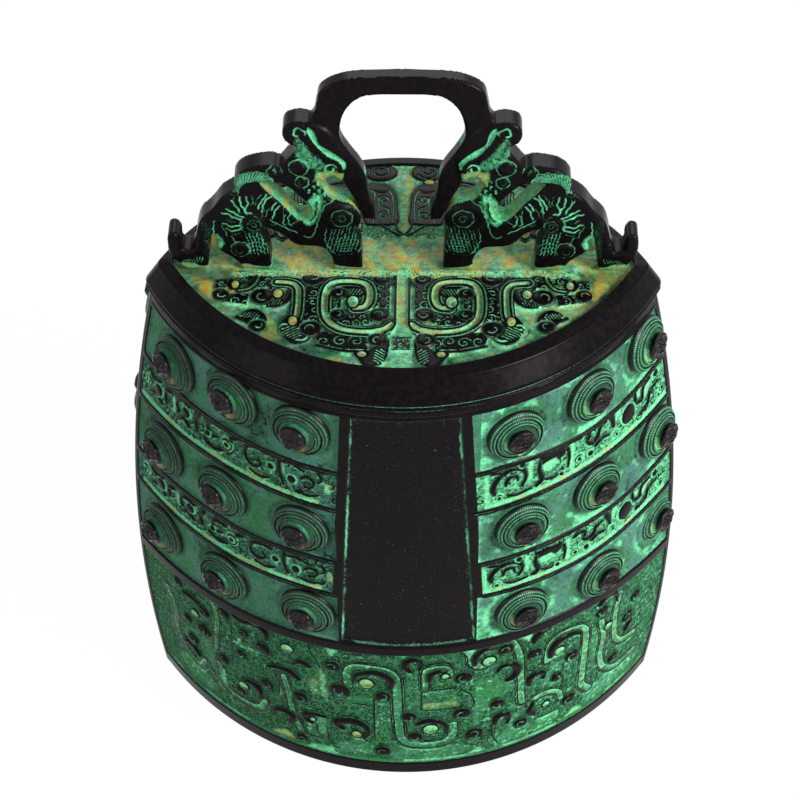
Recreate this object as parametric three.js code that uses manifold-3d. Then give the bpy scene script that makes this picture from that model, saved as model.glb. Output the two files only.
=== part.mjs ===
// A bronze zhong, the clapperless Chinese bell with a lens-shaped section, standing on its mouth.
// Millimetres, +Z up, +X along the wide side, front face towards -Y, origin on the floor under its middle.
import * as THREE from 'three';
import { mergeVertices } from 'three/addons/utils/BufferGeometryUtils.js';
import Module from 'manifold-3d';

const wasm = await Module();
wasm.setup();

// Section of the bell body, measured at the outer surface between the ridges
const mouthHalfWidth = 103.5;
const mouthHalfDepth = 61.5;
const neckHalfWidth = 93.8;
const neckHalfDepth = 64;
const bellyBulge = 9.8;
const faceFlatteningShare = 0.2;
const edgeBluntShare = 0.985;

// Zones of the body from the mouth up
const mouthRimHeight = 6.6;
const skirtHeight = 73.7;
const lowerFieldHeight = 31;
const lowerBandHeight = 18.3;
const middleFieldHeight = 31.6;
const upperBandHeight = 21.4;
const upperFieldHeight = 29.3;
const neckBandHeight = 5.4;

// Walls and inner lip
const faceWall = 5;
const edgeWall = 8.5;
const mouthLipWidth = 3;
const mouthLipHeight = 9;

// Raised work cast on the body
const mouthRimRelief = 1;
const skirtRidgeWidth = 2.6;
const skirtRidgeRelief = 1.6;
const bandRidgeWidth = 1.7;
const bandRidgeRelief = 1.3;
const neckBandRelief = 1.4;
const ridgeFlank = 0.7;
const panelOffset = 3.2;
const panelHalfWidthTop = 23;
const panelHalfWidthBottom = 28.6;
const panelFrameWidth = 4;
const panelFrameRelief = 1.5;
const castRelief = 1.1;
const castRoot = 1.2;
const studRadius = 3.2;
const bandStudRadius = 2.6;
const ribWidth = 2.4;
const rollWidth = 3.2;

// Bosses, three rows of three on each side of the panel
const bossRadius = 11.6;
const coilPitch = 2.3;
const coilTurns = 2;
const coilHeight = 2.4;
const coilRise = 2.2;
const coilValleyDepth = 1.1;
const knobRadius = 4.4;
const knobRootRadius = 3.8;
const knobHeight = 8.4;
const moatHeight = 3.4;
const knobLean = 2.2;
const bossPanelMargin = 4.2;
const bossEdgeMargin = 4.8;

// Crown plate with its cornice and its spigot, which drops into the neck
const seatClearance = 0.3;
const corniceHeight = 12.4;
const corniceOverhang = 2.8;
const corniceInset = 5.2;
const beadHeight = 1.3;
const beadRelief = 1.1;
const rimWidth = 5;
const rimBevel = 1.4;
const rimInnerFlank = 0.6;
const fieldDepth = 2;
const plateThickness = 6;
const spigotDepth = 5;
const spigotWall = 4;
const padHeight = 1.5;
const padHalfLength = 84;
const padHalfWidth = 8.5;
const plateRelief = 1.3;
const plateDiscRadius = 3.3;

// Handle: an arched loop held in the jaws of two confronted beasts
const handleHalfLength = 86.2;
const handleHeight = 87.4;
const loopThickness = 6.4;
const beastThickness = 9.6;
const handleBevel = 0.7;
const jointDiscRelief = 0.9;
const shoulderDiscRadius = 6.6;
const hipDiscRadius = 7.4;
const hornRadius = 4.6;
const eyeRadius = 2.4;

const bronze = { color: 0x2c2528, roughness: 0.42, metalness: 0.85 };
const greenPatina = { color: 0x2f6b4f, roughness: 0.62, metalness: 0.45 };
const darkPatina = { color: 0x27473a, roughness: 0.55, metalness: 0.6 };

const zoneHeights = [
  mouthRimHeight, skirtHeight, lowerFieldHeight, lowerBandHeight,
  middleFieldHeight, upperBandHeight, upperFieldHeight, neckBandHeight,
];
const levels = zoneHeights.reduce((tops, height) => [...tops, tops[tops.length - 1] + height], [0]);
const [
  , rimLevel, skirtLevel, lowerBandBottom, lowerBandTop,
  upperBandBottom, upperBandTop, neckBandLevel, neckLevel,
] = levels;
const bodyHeight = neckLevel;

function mix(a, b, share) {
  return a + (b - a) * share;
}

// Half width and half depth of the body at a height
function bodySection(z) {
  const share = z / bodyHeight;
  return {
    halfWidth: mix(mouthHalfWidth, neckHalfWidth, share) + bellyBulge * 4 * share * (1 - share),
    halfDepth: mix(mouthHalfDepth, neckHalfDepth, share),
  };
}

// A point of the lens section. share runs from -1 at the left edge to 1 at the right edge,
// and side is -1 on the front face and 1 on the back face.
function sectionPoint({ halfWidth, halfDepth }, share, side) {
  const arcRadius = (halfWidth ** 2 + halfDepth ** 2) / (2 * halfDepth);
  const arcAngle = Math.atan2(halfWidth, arcRadius - halfDepth) * share;
  const ovalAngle = Math.PI / 2 * share;
  const arc = [arcRadius * Math.sin(arcAngle), arcRadius * (Math.cos(arcAngle) - 1) + halfDepth];
  const oval = [halfWidth * Math.sin(ovalAngle), halfDepth * Math.cos(ovalAngle)];
  return [
    mix(arc[0], oval[0], -faceFlatteningShare),
    side * mix(arc[1], oval[1], -faceFlatteningShare),
  ];
}

// Point, tangents and outward normal on the body's outer surface
function bodySurface(share, z, side) {
  const shareStep = 1 / 2000;
  const heightStep = bodyHeight / 2000;
  const at = (s, h) => {
    const [x, y] = sectionPoint(bodySection(h), s, side);
    return new THREE.Vector3(x, y, h);
  };
  const point = at(share, z);
  const along = at(share + shareStep, z).sub(at(share - shareStep, z)).divideScalar(2 * shareStep);
  const up = at(share, z + heightStep).sub(at(share, z - heightStep)).normalize();
  const normal = new THREE.Vector3().crossVectors(along, up).multiplyScalar(-side).normalize();
  return { point, along, up, normal };
}

// Length of one unit of share along the face at a height
function shareLength(z) {
  return bodySurface(0, z, -1).along.length();
}

// Middle and edges of the panel frame as shares. The panel stands off the middle of each face,
// to the right on the front face and to the left on the back face.
function panelShares(z, side) {
  const length = shareLength(z);
  const centre = -side * panelOffset / length;
  const rise = (z - skirtLevel) / (neckLevel - skirtLevel);
  const outer = mix(panelHalfWidthBottom, panelHalfWidthTop, rise) / length;
  const inner = outer - panelFrameWidth / length;
  return { centre, outer, inner, flank: ridgeFlank / length };
}

function geometryFrom(points, triangles) {
  const geometry = new THREE.BufferGeometry();
  geometry.setAttribute('position', new THREE.Float32BufferAttribute(points.flat(), 3));
  geometry.setIndex(triangles.flat());
  return geometry;
}

function meshOf(name, geometry, finish) {
  const mesh = new THREE.Mesh(geometry, new THREE.MeshStandardMaterial(finish));
  mesh.name = name;
  geometry.computeVertexNormals();
  return mesh;
}

function toSolid(geometry) {
  const bare = geometry.clone();
  bare.deleteAttribute('normal');
  bare.deleteAttribute('uv');
  const merged = mergeVertices(bare);
  return new wasm.Manifold(new wasm.Mesh({
    numProp: 3,
    vertProperties: merged.attributes.position.array,
    triVerts: merged.index.array,
  }));
}

function toGeometry(solid) {
  const { vertProperties, triVerts } = solid.getMesh();
  const geometry = new THREE.BufferGeometry();
  geometry.setAttribute('position', new THREE.BufferAttribute(vertProperties, 3));
  geometry.setIndex(new THREE.BufferAttribute(triVerts, 1));
  return geometry;
}

// Joins rings of equally many points into one closed skin. Rings run anticlockwise seen from above.
// With wrap the last ring joins the first; otherwise the first and last rings are closed by a fan.
function loftRings(rings, wrap) {
  const count = rings[0].length;
  const points = rings.flat();
  const triangles = [];
  const seams = wrap ? rings.length : rings.length - 1;
  for (let r = 0; r < seams; r++) {
    const low = r * count;
    const high = (r + 1) % rings.length * count;
    for (let i = 0; i < count; i++) {
      const j = (i + 1) % count;
      triangles.push([low + i, low + j, high + j], [low + i, high + j, high + i]);
    }
  }
  if (!wrap) {
    const ends = [[0, true], [(rings.length - 1) * count, false]];
    for (const [start, down] of ends) {
      points.push([0, 0, points[start][2]]);
      for (let i = 0; i < count; i++) {
        const edge = [start + i, start + (i + 1) % count];
        triangles.push(down ? [points.length - 1, edge[1], edge[0]] : [points.length - 1, ...edge]);
      }
    }
  }
  return geometryFrom(points, triangles);
}

// Bell body

// Column shares across one face, left to right, with four lines for each side of the panel frame
function columnShares(z, side) {
  const { centre, outer, inner, flank } = panelShares(z, side);
  const sideSteps = 8;
  const panelSteps = 4;
  const shares = [];
  for (let i = 0; i < sideSteps; i++) {
    shares.push(mix(-edgeBluntShare, centre - outer, i / sideSteps));
  }
  shares.push(centre - outer, centre - outer + flank, centre - inner - flank, centre - inner);
  for (let i = 1; i < panelSteps; i++) {
    shares.push(mix(centre - inner, centre + inner, i / panelSteps));
  }
  shares.push(centre + inner, centre + inner + flank, centre + outer - flank, centre + outer);
  for (let i = 1; i <= sideSteps; i++) {
    shares.push(mix(centre + outer, edgeBluntShare, i / sideSteps));
  }
  return shares;
}

// What a column belongs to: the frame's flat top, the panel inside it or the field outside it
function columnKind(index, total) {
  const firstFrame = (total - 11) / 2;
  const place = index - firstFrame;
  const crests = [1, 2, 8, 9];
  if (crests.includes(place)) {
    return 'frame';
  }
  return place >= 0 && place <= 10 ? 'panel' : 'field';
}

// The rows of the outer skin: height, relief outside the panel and whether the panel frame stands there
function bodyRows() {
  const ridge = (level, width, relief) => [
    [level - width / 2 - ridgeFlank, 0], [level - width / 2, relief],
    [level + width / 2, relief], [level + width / 2 + ridgeFlank, 0],
  ];
  const spread = (from, to, steps) => {
    const rows = [];
    for (let i = 1; i < steps; i++) {
      rows.push([mix(from, to, i / steps), 0]);
    }
    return rows;
  };
  return [
    [0, mouthRimRelief],
    [rimLevel, mouthRimRelief],
    [rimLevel + ridgeFlank, 0],
    ...spread(rimLevel, skirtLevel, 4),
    ...ridge(skirtLevel, skirtRidgeWidth, skirtRidgeRelief),
    ...spread(skirtLevel, lowerBandBottom, 2),
    ...ridge(lowerBandBottom, bandRidgeWidth, bandRidgeRelief),
    ...ridge(lowerBandTop, bandRidgeWidth, bandRidgeRelief),
    ...spread(lowerBandTop, upperBandBottom, 2),
    ...ridge(upperBandBottom, bandRidgeWidth, bandRidgeRelief),
    ...ridge(upperBandTop, bandRidgeWidth, bandRidgeRelief),
    ...spread(upperBandTop, neckBandLevel, 2),
    [neckBandLevel - ridgeFlank, 0],
    [neckBandLevel, neckBandRelief],
    [neckLevel, neckBandRelief],
  ];
}

function bodyRing(z, relief) {
  const frameStands = z > skirtLevel + skirtRidgeWidth / 2 && z < neckBandLevel;
  const raisedOn = {
    frame: frameStands ? panelFrameRelief : relief,
    panel: frameStands ? 0 : relief,
    field: relief,
  };
  const ring = [];
  for (const side of [-1, 1]) {
    const shares = columnShares(z, side);
    const face = shares.map((share, index) => {
      const raised = raisedOn[columnKind(index, shares.length)];
      const { point, normal } = bodySurface(share, z, side);
      return point.addScaledVector(normal, raised).setZ(z).toArray();
    });
    ring.push(...(side < 0 ? face : face.reverse()));
  }
  return ring;
}

// Inner skin rings keep the outer ring's point count, so that the skins close on each other
function innerRing(z, thickenBy) {
  const { halfWidth, halfDepth } = bodySection(z);
  const section = {
    halfWidth: halfWidth - edgeWall - thickenBy,
    halfDepth: halfDepth - faceWall - thickenBy,
  };
  const ring = [];
  for (const side of [-1, 1]) {
    const shares = columnShares(z, side);
    const face = shares.map((share) => [...sectionPoint(section, share, side), z]);
    ring.push(...(side < 0 ? face : face.reverse()));
  }
  return ring;
}

// The larger raised forms of the cast ornament on the front face, which the back face repeats turned about.
// Points are shares: out from the middle of the face towards its edge, and up the zone they stand in.
const skirtStudShares = [
  [-0.21, 0.594], [0.247, 0.195], [0.199, 0.404], [0.202, 0.719], [-0.479, 0.757], [-0.353, 0.445],
  [0.343, 0.887], [0.444, 0.765], [0.59, 0.596], [0.599, 0.195], [-0.066, 0.589], [-0.233, 0.798],
  [-0.476, 0.448], [0.702, 0.833], [0.825, 0.616], [-0.784, 0.453], [-0.071, 0.092], [0.021, 0.412],
];
const skirtRollShares = [
  [[-0.209, 0.263], [-0.208, 0.326], [-0.167, 0.336], [-0.132, 0.309], [-0.134, 0.195]],
  [[0.507, 0.684], [0.514, 0.752], [0.541, 0.792], [0.588, 0.792], [0.619, 0.758]],
  [[-0.041, 0.67], [-0.041, 0.738], [-0.074, 0.787], [-0.152, 0.758], [-0.165, 0.704]],
  [[0.352, 0.616], [0.38, 0.636], [0.387, 0.691], [0.335, 0.752], [0.315, 0.718]],
  [[-0.462, 0.86], [-0.466, 0.923], [-0.501, 0.947], [-0.548, 0.923], [-0.586, 0.942]],
  [[-0.399, 0.182], [-0.393, 0.244], [-0.421, 0.271], [-0.454, 0.244], [-0.463, 0.195]],
  [[-0.687, 0.779], [-0.714, 0.82], [-0.754, 0.852], [-0.799, 0.847]],
  [[0.025, 0.817], [0.007, 0.855], [0.018, 0.906], [0.063, 0.868], [0.054, 0.833]],
  [[0.05, 0.35], [0.083, 0.372], [0.121, 0.358], [0.147, 0.309], [0.151, 0.236]],
  [[0.686, 0.915], [0.716, 0.95], [0.754, 0.923], [0.762, 0.847]],
  [[-0.352, 0.609], [-0.384, 0.649], [-0.424, 0.654], [-0.464, 0.63]],
  [[0.432, 0.507], [0.436, 0.562], [0.465, 0.583], [0.489, 0.554], [0.481, 0.521]],
  [[0.316, 0.25], [0.327, 0.304], [0.356, 0.309], [0.37, 0.263], [0.362, 0.223]],
  [[-0.316, 0.25], [-0.34, 0.271], [-0.336, 0.312], [-0.307, 0.331], [-0.266, 0.334]],
];
const bandStudShares = [[0.299, 0.363], [0.745, 0.511]];
const bandRibShares = [
  [[0.417, 0.265], [0.437, 0.536], [0.48, 0.609], [0.518, 0.29]],
];

// A closed tube from equal rings, each end closed round its middle. Rings run anticlockwise seen from the
// far end, and flip turns the skin about for rings that were mirrored.
function tubeSolid(rings, flip) {
  const count = rings[0].length;
  const points = rings.flat();
  const triangles = [];
  for (let r = 0; r + 1 < rings.length; r++) {
    for (let i = 0; i < count; i++) {
      const j = (i + 1) % count;
      const low = r * count;
      const high = low + count;
      triangles.push([low + i, low + j, high + j], [low + i, high + j, high + i]);
    }
  }
  const ends = [[rings[0], 0, true], [rings[rings.length - 1], points.length - count, false]];
  for (const [ring, start, down] of ends) {
    const middle = ring.reduce((sum, point) => sum.add(point), new THREE.Vector3()).divideScalar(count);
    points.push(middle);
    for (let i = 0; i < count; i++) {
      const edge = [start + i, start + (i + 1) % count];
      triangles.push(down ? [points.length - 1, edge[1], edge[0]] : [points.length - 1, ...edge]);
    }
  }
  const skin = flip ? triangles.map(([a, b, c]) => [a, c, b]) : triangles;
  return toSolid(geometryFrom(points.map((point) => point.toArray()), skin));
}

// A place on a face: share of its half width, height, and how far out of the surface
function castPoint(share, z, side, out) {
  const { point, normal } = bodySurface(share, z, side);
  return point.addScaledVector(normal, out);
}

function studSolid(share, z, side, radius) {
  const sides = 7;
  const studTopShare = 0.8;
  const ring = (size, out) => {
    const points = [];
    for (let i = 0; i < sides; i++) {
      const angle = 2 * Math.PI * i / sides;
      const across = size * Math.cos(angle) / shareLength(z);
      points.push(castPoint(share + across, z + size * Math.sin(angle), side, out));
    }
    return points;
  };
  return tubeSolid([ring(radius, -castRoot), ring(radius * studTopShare, castRelief)], side > 0);
}

function ribSolid(path, side, width) {
  const rings = path.map(([share, z], i) => {
    const before = path[Math.max(i - 1, 0)];
    const after = path[Math.min(i + 1, path.length - 1)];
    const length = shareLength(z);
    const heading = new THREE.Vector2((after[0] - before[0]) * length, after[1] - before[1]).normalize();
    const corner = (hand, out) => castPoint(
      share - hand * heading.y * width / 2 / length,
      z + hand * heading.x * width / 2,
      side,
      out,
    );
    return [corner(1, -castRoot), corner(1, castRelief), corner(-1, castRelief), corner(-1, -castRoot)];
  });
  return tubeSolid(rings, side > 0);
}

function castOrnament() {
  const solids = [];
  const bands = [[lowerBandBottom, lowerBandTop], [upperBandBottom, upperBandTop]];
  for (const side of [-1, 1]) {
    const place = ([share, up], [bottom, top], hand) => [
      -side * hand * share * edgeBluntShare,
      mix(bottom, top, up),
    ];
    const skirt = [rimLevel, skirtLevel];
    for (const stud of skirtStudShares) {
      solids.push(studSolid(...place(stud, skirt, 1), side, studRadius));
    }
    for (const roll of skirtRollShares) {
      solids.push(ribSolid(roll.map((point) => place(point, skirt, 1)), side, rollWidth));
    }
    for (const band of bands) {
      for (const hand of [-1, 1]) {
        for (const stud of bandStudShares) {
          solids.push(studSolid(...place(stud, band, hand), side, bandStudRadius));
        }
        for (const rib of bandRibShares) {
          solids.push(ribSolid(rib.map((point) => place(point, band, hand)), side, ribWidth));
        }
      }
    }
  }
  return solids;
}

function bellBody() {
  const outer = bodyRows().map(([z, relief]) => bodyRing(z, relief));
  const innerSteps = 5;
  const inner = [];
  for (let i = 0; i <= innerSteps; i++) {
    inner.push(innerRing(mix(bodyHeight, mouthLipHeight + mouthLipWidth, i / innerSteps), 0));
  }
  inner.push(innerRing(mouthLipHeight, mouthLipWidth), innerRing(0, mouthLipWidth));
  const plain = toSolid(loftRings([...outer, ...inner], true));
  const whole = wasm.Manifold.union([plain, ...castOrnament()]);
  return meshOf('bell_body', toGeometry(whole), greenPatina);
}

// Bosses

// One boss as a coil that winds in and up round a knob.
// Points are [across, up, height] from the boss centre.
function bossPoints() {
  const steps = 12;
  const last = steps * coilTurns;
  const tailSteps = 2;
  const polar = (i, radius, height) => {
    const angle = -Math.PI / 2 + 2 * Math.PI * i / steps;
    const lean = knobLean * height / knobHeight;
    return [radius * Math.cos(angle), radius * Math.sin(angle) + lean, height];
  };
  const outerRadius = (i) => bossRadius + coilPitch * (1 / 2 - i / steps);
  const tailShare = (i) => Math.min(i / tailSteps, 1);
  const crestHeight = (i) => mix(0, coilHeight + coilRise * i / last, tailShare(i));
  const valleyHeight = (i) => (i <= steps ? 0 : crestHeight(i - steps) - coilValleyDepth);
  const valleys = [];
  const crests = [];
  for (let i = 0; i <= last + steps; i++) {
    const radius = mix(outerRadius(steps), outerRadius(i), tailShare(i));
    const floor = i > last ? moatHeight : valleyHeight(i);
    valleys.push(polar(i, i === steps ? outerRadius(steps) : radius, floor));
  }
  for (let i = 0; i <= last; i++) {
    const middle = (outerRadius(i) + outerRadius(i + steps)) / 2;
    crests.push(polar(i, mix(outerRadius(steps), middle, tailShare(i)), crestHeight(i)));
  }
  const roots = [];
  const tops = [];
  for (let i = 0; i < steps; i++) {
    roots.push(polar(i, knobRootRadius, moatHeight));
    tops.push(polar(i, knobRadius, knobHeight));
  }
  return { steps, last, valleys, crests, roots, tops };
}

function bossTriangles({ steps, last, valleys, crests }) {
  const valley = (i) => (i === steps ? 0 : i);
  const crest = (i) => (i === 0 ? 0 : valleys.length + i);
  const root = (i) => valleys.length + crests.length + i % steps;
  const top = (i) => root(i) + steps;
  const apex = valleys.length + crests.length + 2 * steps;
  const base = apex + 1;
  const triangles = [];
  const quad = (a, b, c, d) => triangles.push([a, b, c], [a, c, d]);
  for (let i = 0; i < last; i++) {
    quad(valley(i), valley(i + 1), crest(i + 1), crest(i));
    quad(crest(i), crest(i + 1), valley(i + 1 + steps), valley(i + steps));
  }
  triangles.push([valley(last), valley(last + steps), crest(last)]);
  triangles.push([valley(last + steps), valley(last), root(0)]);
  for (let i = 0; i < steps; i++) {
    quad(valley(last + i), valley(last + i + 1), root(i + 1), root(i));
    quad(root(i), root(i + 1), top(i + 1), top(i));
    triangles.push([top(i), top(i + 1), apex]);
    triangles.push([valley(i + 1), valley(i), base]);
  }
  return triangles.filter(([a, b, c]) => a !== b && b !== c && c !== a);
}

const boss = bossPoints();
const bossFaces = bossTriangles(boss);
const bossSkin = [
  ...boss.valleys, ...boss.crests, ...boss.roots, ...boss.tops,
  [0, knobLean, knobHeight], [0, 0, 0],
];

// Its foot follows the body's curved face, and from the first crest up it keeps its own flat plane
function bossMesh(name, share, z, side) {
  const seat = bodySurface(share, z, side);
  const length = seat.along.length();
  const across = seat.along.clone().multiplyScalar(-side / length);
  const upright = new THREE.Vector3().crossVectors(seat.normal, across);
  const turn = new THREE.Matrix4().makeBasis(across, upright, seat.normal);
  const origin = seat.point.clone().addScaledVector(seat.normal, seatClearance);
  const toLocal = turn.clone().setPosition(origin).invert();
  const points = bossSkin.map(([u, v, height]) => {
    const under = bodySurface(share - side * u / length, z + v, side);
    const foot = under.point.addScaledVector(under.normal, seatClearance).applyMatrix4(toLocal);
    const upper = Math.min(height / coilHeight, 1);
    return [mix(foot.x, u, upper), mix(foot.y, v, upper), mix(foot.z, 0, upper) + height];
  });
  const soup = geometryFrom(points, bossFaces).toNonIndexed();
  const mesh = meshOf(name, mergeVertices(soup), darkPatina);
  mesh.position.copy(origin);
  mesh.quaternion.setFromRotationMatrix(turn);
  return mesh;
}

function bosses() {
  const group = new THREE.Group();
  const rows = {
    upper: [upperBandTop, neckBandLevel],
    middle: [lowerBandTop, upperBandBottom],
    lower: [skirtLevel, lowerBandBottom],
  };
  for (const [face, side] of [['front', -1], ['back', 1]]) {
    for (const [row, [bottom, top]] of Object.entries(rows)) {
      const z = mix(bottom, top, 1 / 2);
      const length = shareLength(z);
      const { centre, outer } = panelShares(z, side);
      for (const [hand, sign] of [['left', -1], ['right', 1]]) {
        const inner = centre + sign * (outer + (bossRadius + bossPanelMargin) / length);
        const edge = centre + sign * (edgeBluntShare - (bossRadius + bossEdgeMargin) / length);
        const shares = { inner, middle: (inner + edge) / 2, outer: edge };
        for (const [place, share] of Object.entries(shares)) {
          group.add(bossMesh(`boss_${face}_${row}_${hand}_${place}`, share, z, side));
        }
      }
    }
  }
  return group;
}

// Crown plate

const crownSeat = bodyHeight + seatClearance;
const rimTop = crownSeat + corniceHeight;
const fieldTop = rimTop - fieldDepth;
const padTop = fieldTop + padHeight;

function crownRing(halfWidth, halfDepth, z) {
  const steps = 24;
  const ring = [];
  for (const side of [-1, 1]) {
    for (let i = 0; i < steps; i++) {
      const share = side * mix(edgeBluntShare, -edgeBluntShare, i / (steps - 1));
      ring.push([...sectionPoint({ halfWidth, halfDepth }, share, side), z]);
    }
  }
  return ring;
}

// The larger raised forms on the crown's field, in one quarter, which the other three mirror.
// Points are shares of the field's half width and half depth out from its middle.
const plateFormShares = [
  [[0.054, 0.482], [0.054, 0.205], [0.114, 0.205], [0.114, 0.482]],
  [[0.357, 0.554], [0.357, 0.223], [0.415, 0.223], [0.415, 0.554]],
  [[0.14, 0.827], [0.14, 0.7], [0.338, 0.661], [0.361, 0.714], [0.35, 0.775]],
  [[0.058, 0.714], [0.054, 0.821], [0.07, 0.929], [0.128, 0.982], [0.182, 0.911], [0.198, 0.839],
    [0.14, 0.75]],
  [[0.385, 0.679], [0.396, 0.75], [0.455, 0.775], [0.501, 0.696], [0.513, 0.589], [0.478, 0.511],
    [0.42, 0.571]],
  [[0.571, 0.536], [0.594, 0.471], [0.641, 0.446], [0.699, 0.527], [0.618, 0.661], [0.583, 0.625]],
];
const plateDiscShares = [[0.096, 0.493], [0.383, 0.625], [0.6, 0.321], [0.776, 0.307], [0.274, 0.289]];

function plateOrnament(halfWidth, halfDepth) {
  const discSides = 8;
  const outlines = plateFormShares.map((form) => form.map(([x, y]) => [x * halfWidth, y * halfDepth]));
  for (const [x, y] of plateDiscShares) {
    const disc = [];
    for (let i = 0; i < discSides; i++) {
      const angle = 2 * Math.PI * i / discSides;
      disc.push([
        x * halfWidth + plateDiscRadius * Math.cos(angle),
        y * halfDepth + plateDiscRadius * Math.sin(angle),
      ]);
    }
    outlines.push(disc);
  }
  const solids = [];
  for (const [flipX, flipY] of [[1, 1], [-1, 1], [-1, -1], [1, -1]]) {
    for (const outline of outlines) {
      const shape = new THREE.Shape(outline.map(([x, y]) => new THREE.Vector2(x * flipX, y * flipY)));
      const geometry = new THREE.ExtrudeGeometry(shape, {
        depth: plateRelief + plateThickness / 2, bevelEnabled: false,
      });
      geometry.translate(0, 0, fieldTop - plateThickness / 2);
      solids.push(toSolid(geometry));
    }
  }
  return solids;
}

function crownPlate() {
  const lowerWidth = neckHalfWidth + corniceOverhang;
  const lowerDepth = neckHalfDepth + corniceOverhang;
  const upperWidth = lowerWidth - corniceInset;
  const upperDepth = lowerDepth - corniceInset;
  const spigotWidth = neckHalfWidth - edgeWall - seatClearance;
  const spigotHalfDepth = neckHalfDepth - faceWall - seatClearance;
  const underside = fieldTop - plateThickness;
  const spigotEnd = crownSeat - spigotDepth;
  const rings = [
    crownRing(spigotWidth - spigotWall, spigotHalfDepth - spigotWall, underside),
    crownRing(spigotWidth - spigotWall, spigotHalfDepth - spigotWall, spigotEnd),
    crownRing(spigotWidth, spigotHalfDepth, spigotEnd),
    crownRing(spigotWidth, spigotHalfDepth, crownSeat),
    crownRing(lowerWidth - beadRelief, lowerDepth - beadRelief, crownSeat),
    crownRing(lowerWidth, lowerDepth, crownSeat + beadHeight / 2),
    crownRing(lowerWidth - beadRelief, lowerDepth - beadRelief, crownSeat + beadHeight),
    crownRing(lowerWidth, lowerDepth, crownSeat + 2 * beadHeight),
    crownRing(upperWidth, upperDepth, rimTop - rimBevel),
    crownRing(upperWidth - rimWidth, upperDepth - rimWidth, rimTop),
    crownRing(upperWidth - rimWidth - rimInnerFlank, upperDepth - rimWidth - rimInnerFlank, fieldTop),
  ];
  const dish = toSolid(loftRings(rings, false));
  const padOutline = new THREE.Shape();
  padOutline.absellipse(0, 0, padHalfLength, padHalfWidth, 0, 2 * Math.PI);
  const padGeometry = new THREE.ExtrudeGeometry(padOutline, {
    depth: padHeight + plateThickness / 2, bevelEnabled: false, curveSegments: 16,
  });
  padGeometry.translate(0, 0, fieldTop - plateThickness / 2);
  const fieldWidth = upperWidth - rimWidth - rimInnerFlank;
  const fieldDepthHalf = upperDepth - rimWidth - rimInnerFlank;
  const ornament = plateOrnament(fieldWidth, fieldDepthHalf);
  const whole = wasm.Manifold.union([dish, toSolid(padGeometry), ...ornament]);
  return meshOf('crown_plate', toGeometry(whole), bronze);
}

// Handle

// Outline of the left beast, in shares of the handle's half length out from the middle and of its height
// up from the feet. Each run is a smooth curve, and the runs meet in corners.
const beastRunShares = [
  [[0.171, 0], [0.178, 0.115], [0.198, 0.193], [0.176, 0.272], [0.206, 0.343], [0.262, 0.37],
    [0.303, 0.385], [0.33, 0.43], [0.342, 0.466]],
  [[0.342, 0.466], [0.3, 0.503], [0.25, 0.48]],
  [[0.25, 0.48], [0.235, 0.6], [0.3, 0.735], [0.385, 0.78]],
  [[0.385, 0.78], [0.43, 0.785], [0.478, 0.765], [0.49, 0.718], [0.462, 0.678]],
  [[0.462, 0.678], [0.437, 0.648], [0.484, 0.58], [0.51, 0.545]],
  [[0.51, 0.545], [0.555, 0.56], [0.63, 0.546], [0.676, 0.518], [0.7, 0.48], [0.695, 0.435]],
  [[0.695, 0.435], [0.757, 0.387], [0.8, 0.325], [0.85, 0.268], [0.872, 0.2], [0.884, 0.13],
    [0.902, 0.1], [0.94, 0.11], [0.945, 0.165], [0.966, 0.194], [0.993, 0.185], [1, 0.14],
    [0.993, 0.08], [0.962, 0.035], [0.93, 0]],
  [[0.93, 0], [0.835, 0]],
  [[0.835, 0], [0.822, 0.1], [0.808, 0.19]],
  [[0.808, 0.19], [0.782, 0.16], [0.785, 0.11], [0.71, 0.045], [0.69, 0]],
  [[0.69, 0], [0.56, 0]],
  [[0.56, 0], [0.572, 0.112], [0.602, 0.195], [0.6, 0.235]],
  [[0.6, 0.235], [0.523, 0.202], [0.45, 0.135], [0.345, 0.12], [0.305, 0.07], [0.296, 0]],
  [[0.296, 0], [0.171, 0]],
];

// The gap between the beast's crest and its back
const crestGapShares = [
  [0.595, 0.475], [0.527, 0.474], [0.49, 0.465], [0.433, 0.408], [0.383, 0.34], [0.392, 0.282],
  [0.43, 0.267], [0.46, 0.292], [0.516, 0.368], [0.56, 0.416],
];

// The loop's right half from the top middle round the outside to its foot and back up the inside.
// The inside ends on the flat underside of the bar, which the bell hangs from.
const loopOuterShares = [
  [0, 1], [0.18, 0.994], [0.27, 0.972], [0.33, 0.93], [0.348, 0.87], [0.36, 0.81], [0.385, 0.775],
];
const loopShoulderShares = [[0.385, 0.775], [0.36, 0.62], [0.303, 0.506], [0.253, 0.478]];
const loopFootShares = [[0.253, 0.478], [0.231, 0.428], [0.203, 0.37], [0.16, 0.265]];
const loopInnerShares = [
  [0.115, 0.258], [0.122, 0.325], [0.143, 0.392], [0.153, 0.487], [0.174, 0.545], [0.22, 0.62],
  [0.255, 0.694], [0.251, 0.777], [0.222, 0.85], [0.165, 0.902], [0.09, 0.914],
];

const hornShare = [0.436, 0.722];
const shoulderShare = [0.278, 0.292];
const hipShare = [0.658, 0.25];
const eyeShare = [0.416, 0.552];

function handlePoint([across, up]) {
  return new THREE.Vector2(across * handleHalfLength, up * handleHeight);
}

function smoothRun(shares, stepsPerSpan) {
  const points = shares.map(handlePoint);
  return new THREE.SplineCurve(points).getPoints((points.length - 1) * stepsPerSpan);
}

// A plate of a thickness from a flat outline, with eased edges, standing in the XZ plane
function standingPlate(shape, thickness) {
  const geometry = new THREE.ExtrudeGeometry(shape, {
    depth: thickness - 2 * handleBevel,
    bevelEnabled: true,
    bevelThickness: handleBevel,
    bevelSize: handleBevel,
    bevelOffset: -handleBevel,
    bevelSegments: 1,
  });
  geometry.rotateX(Math.PI / 2);
  geometry.translate(0, thickness / 2 - handleBevel, 0);
  return toSolid(geometry);
}

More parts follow.
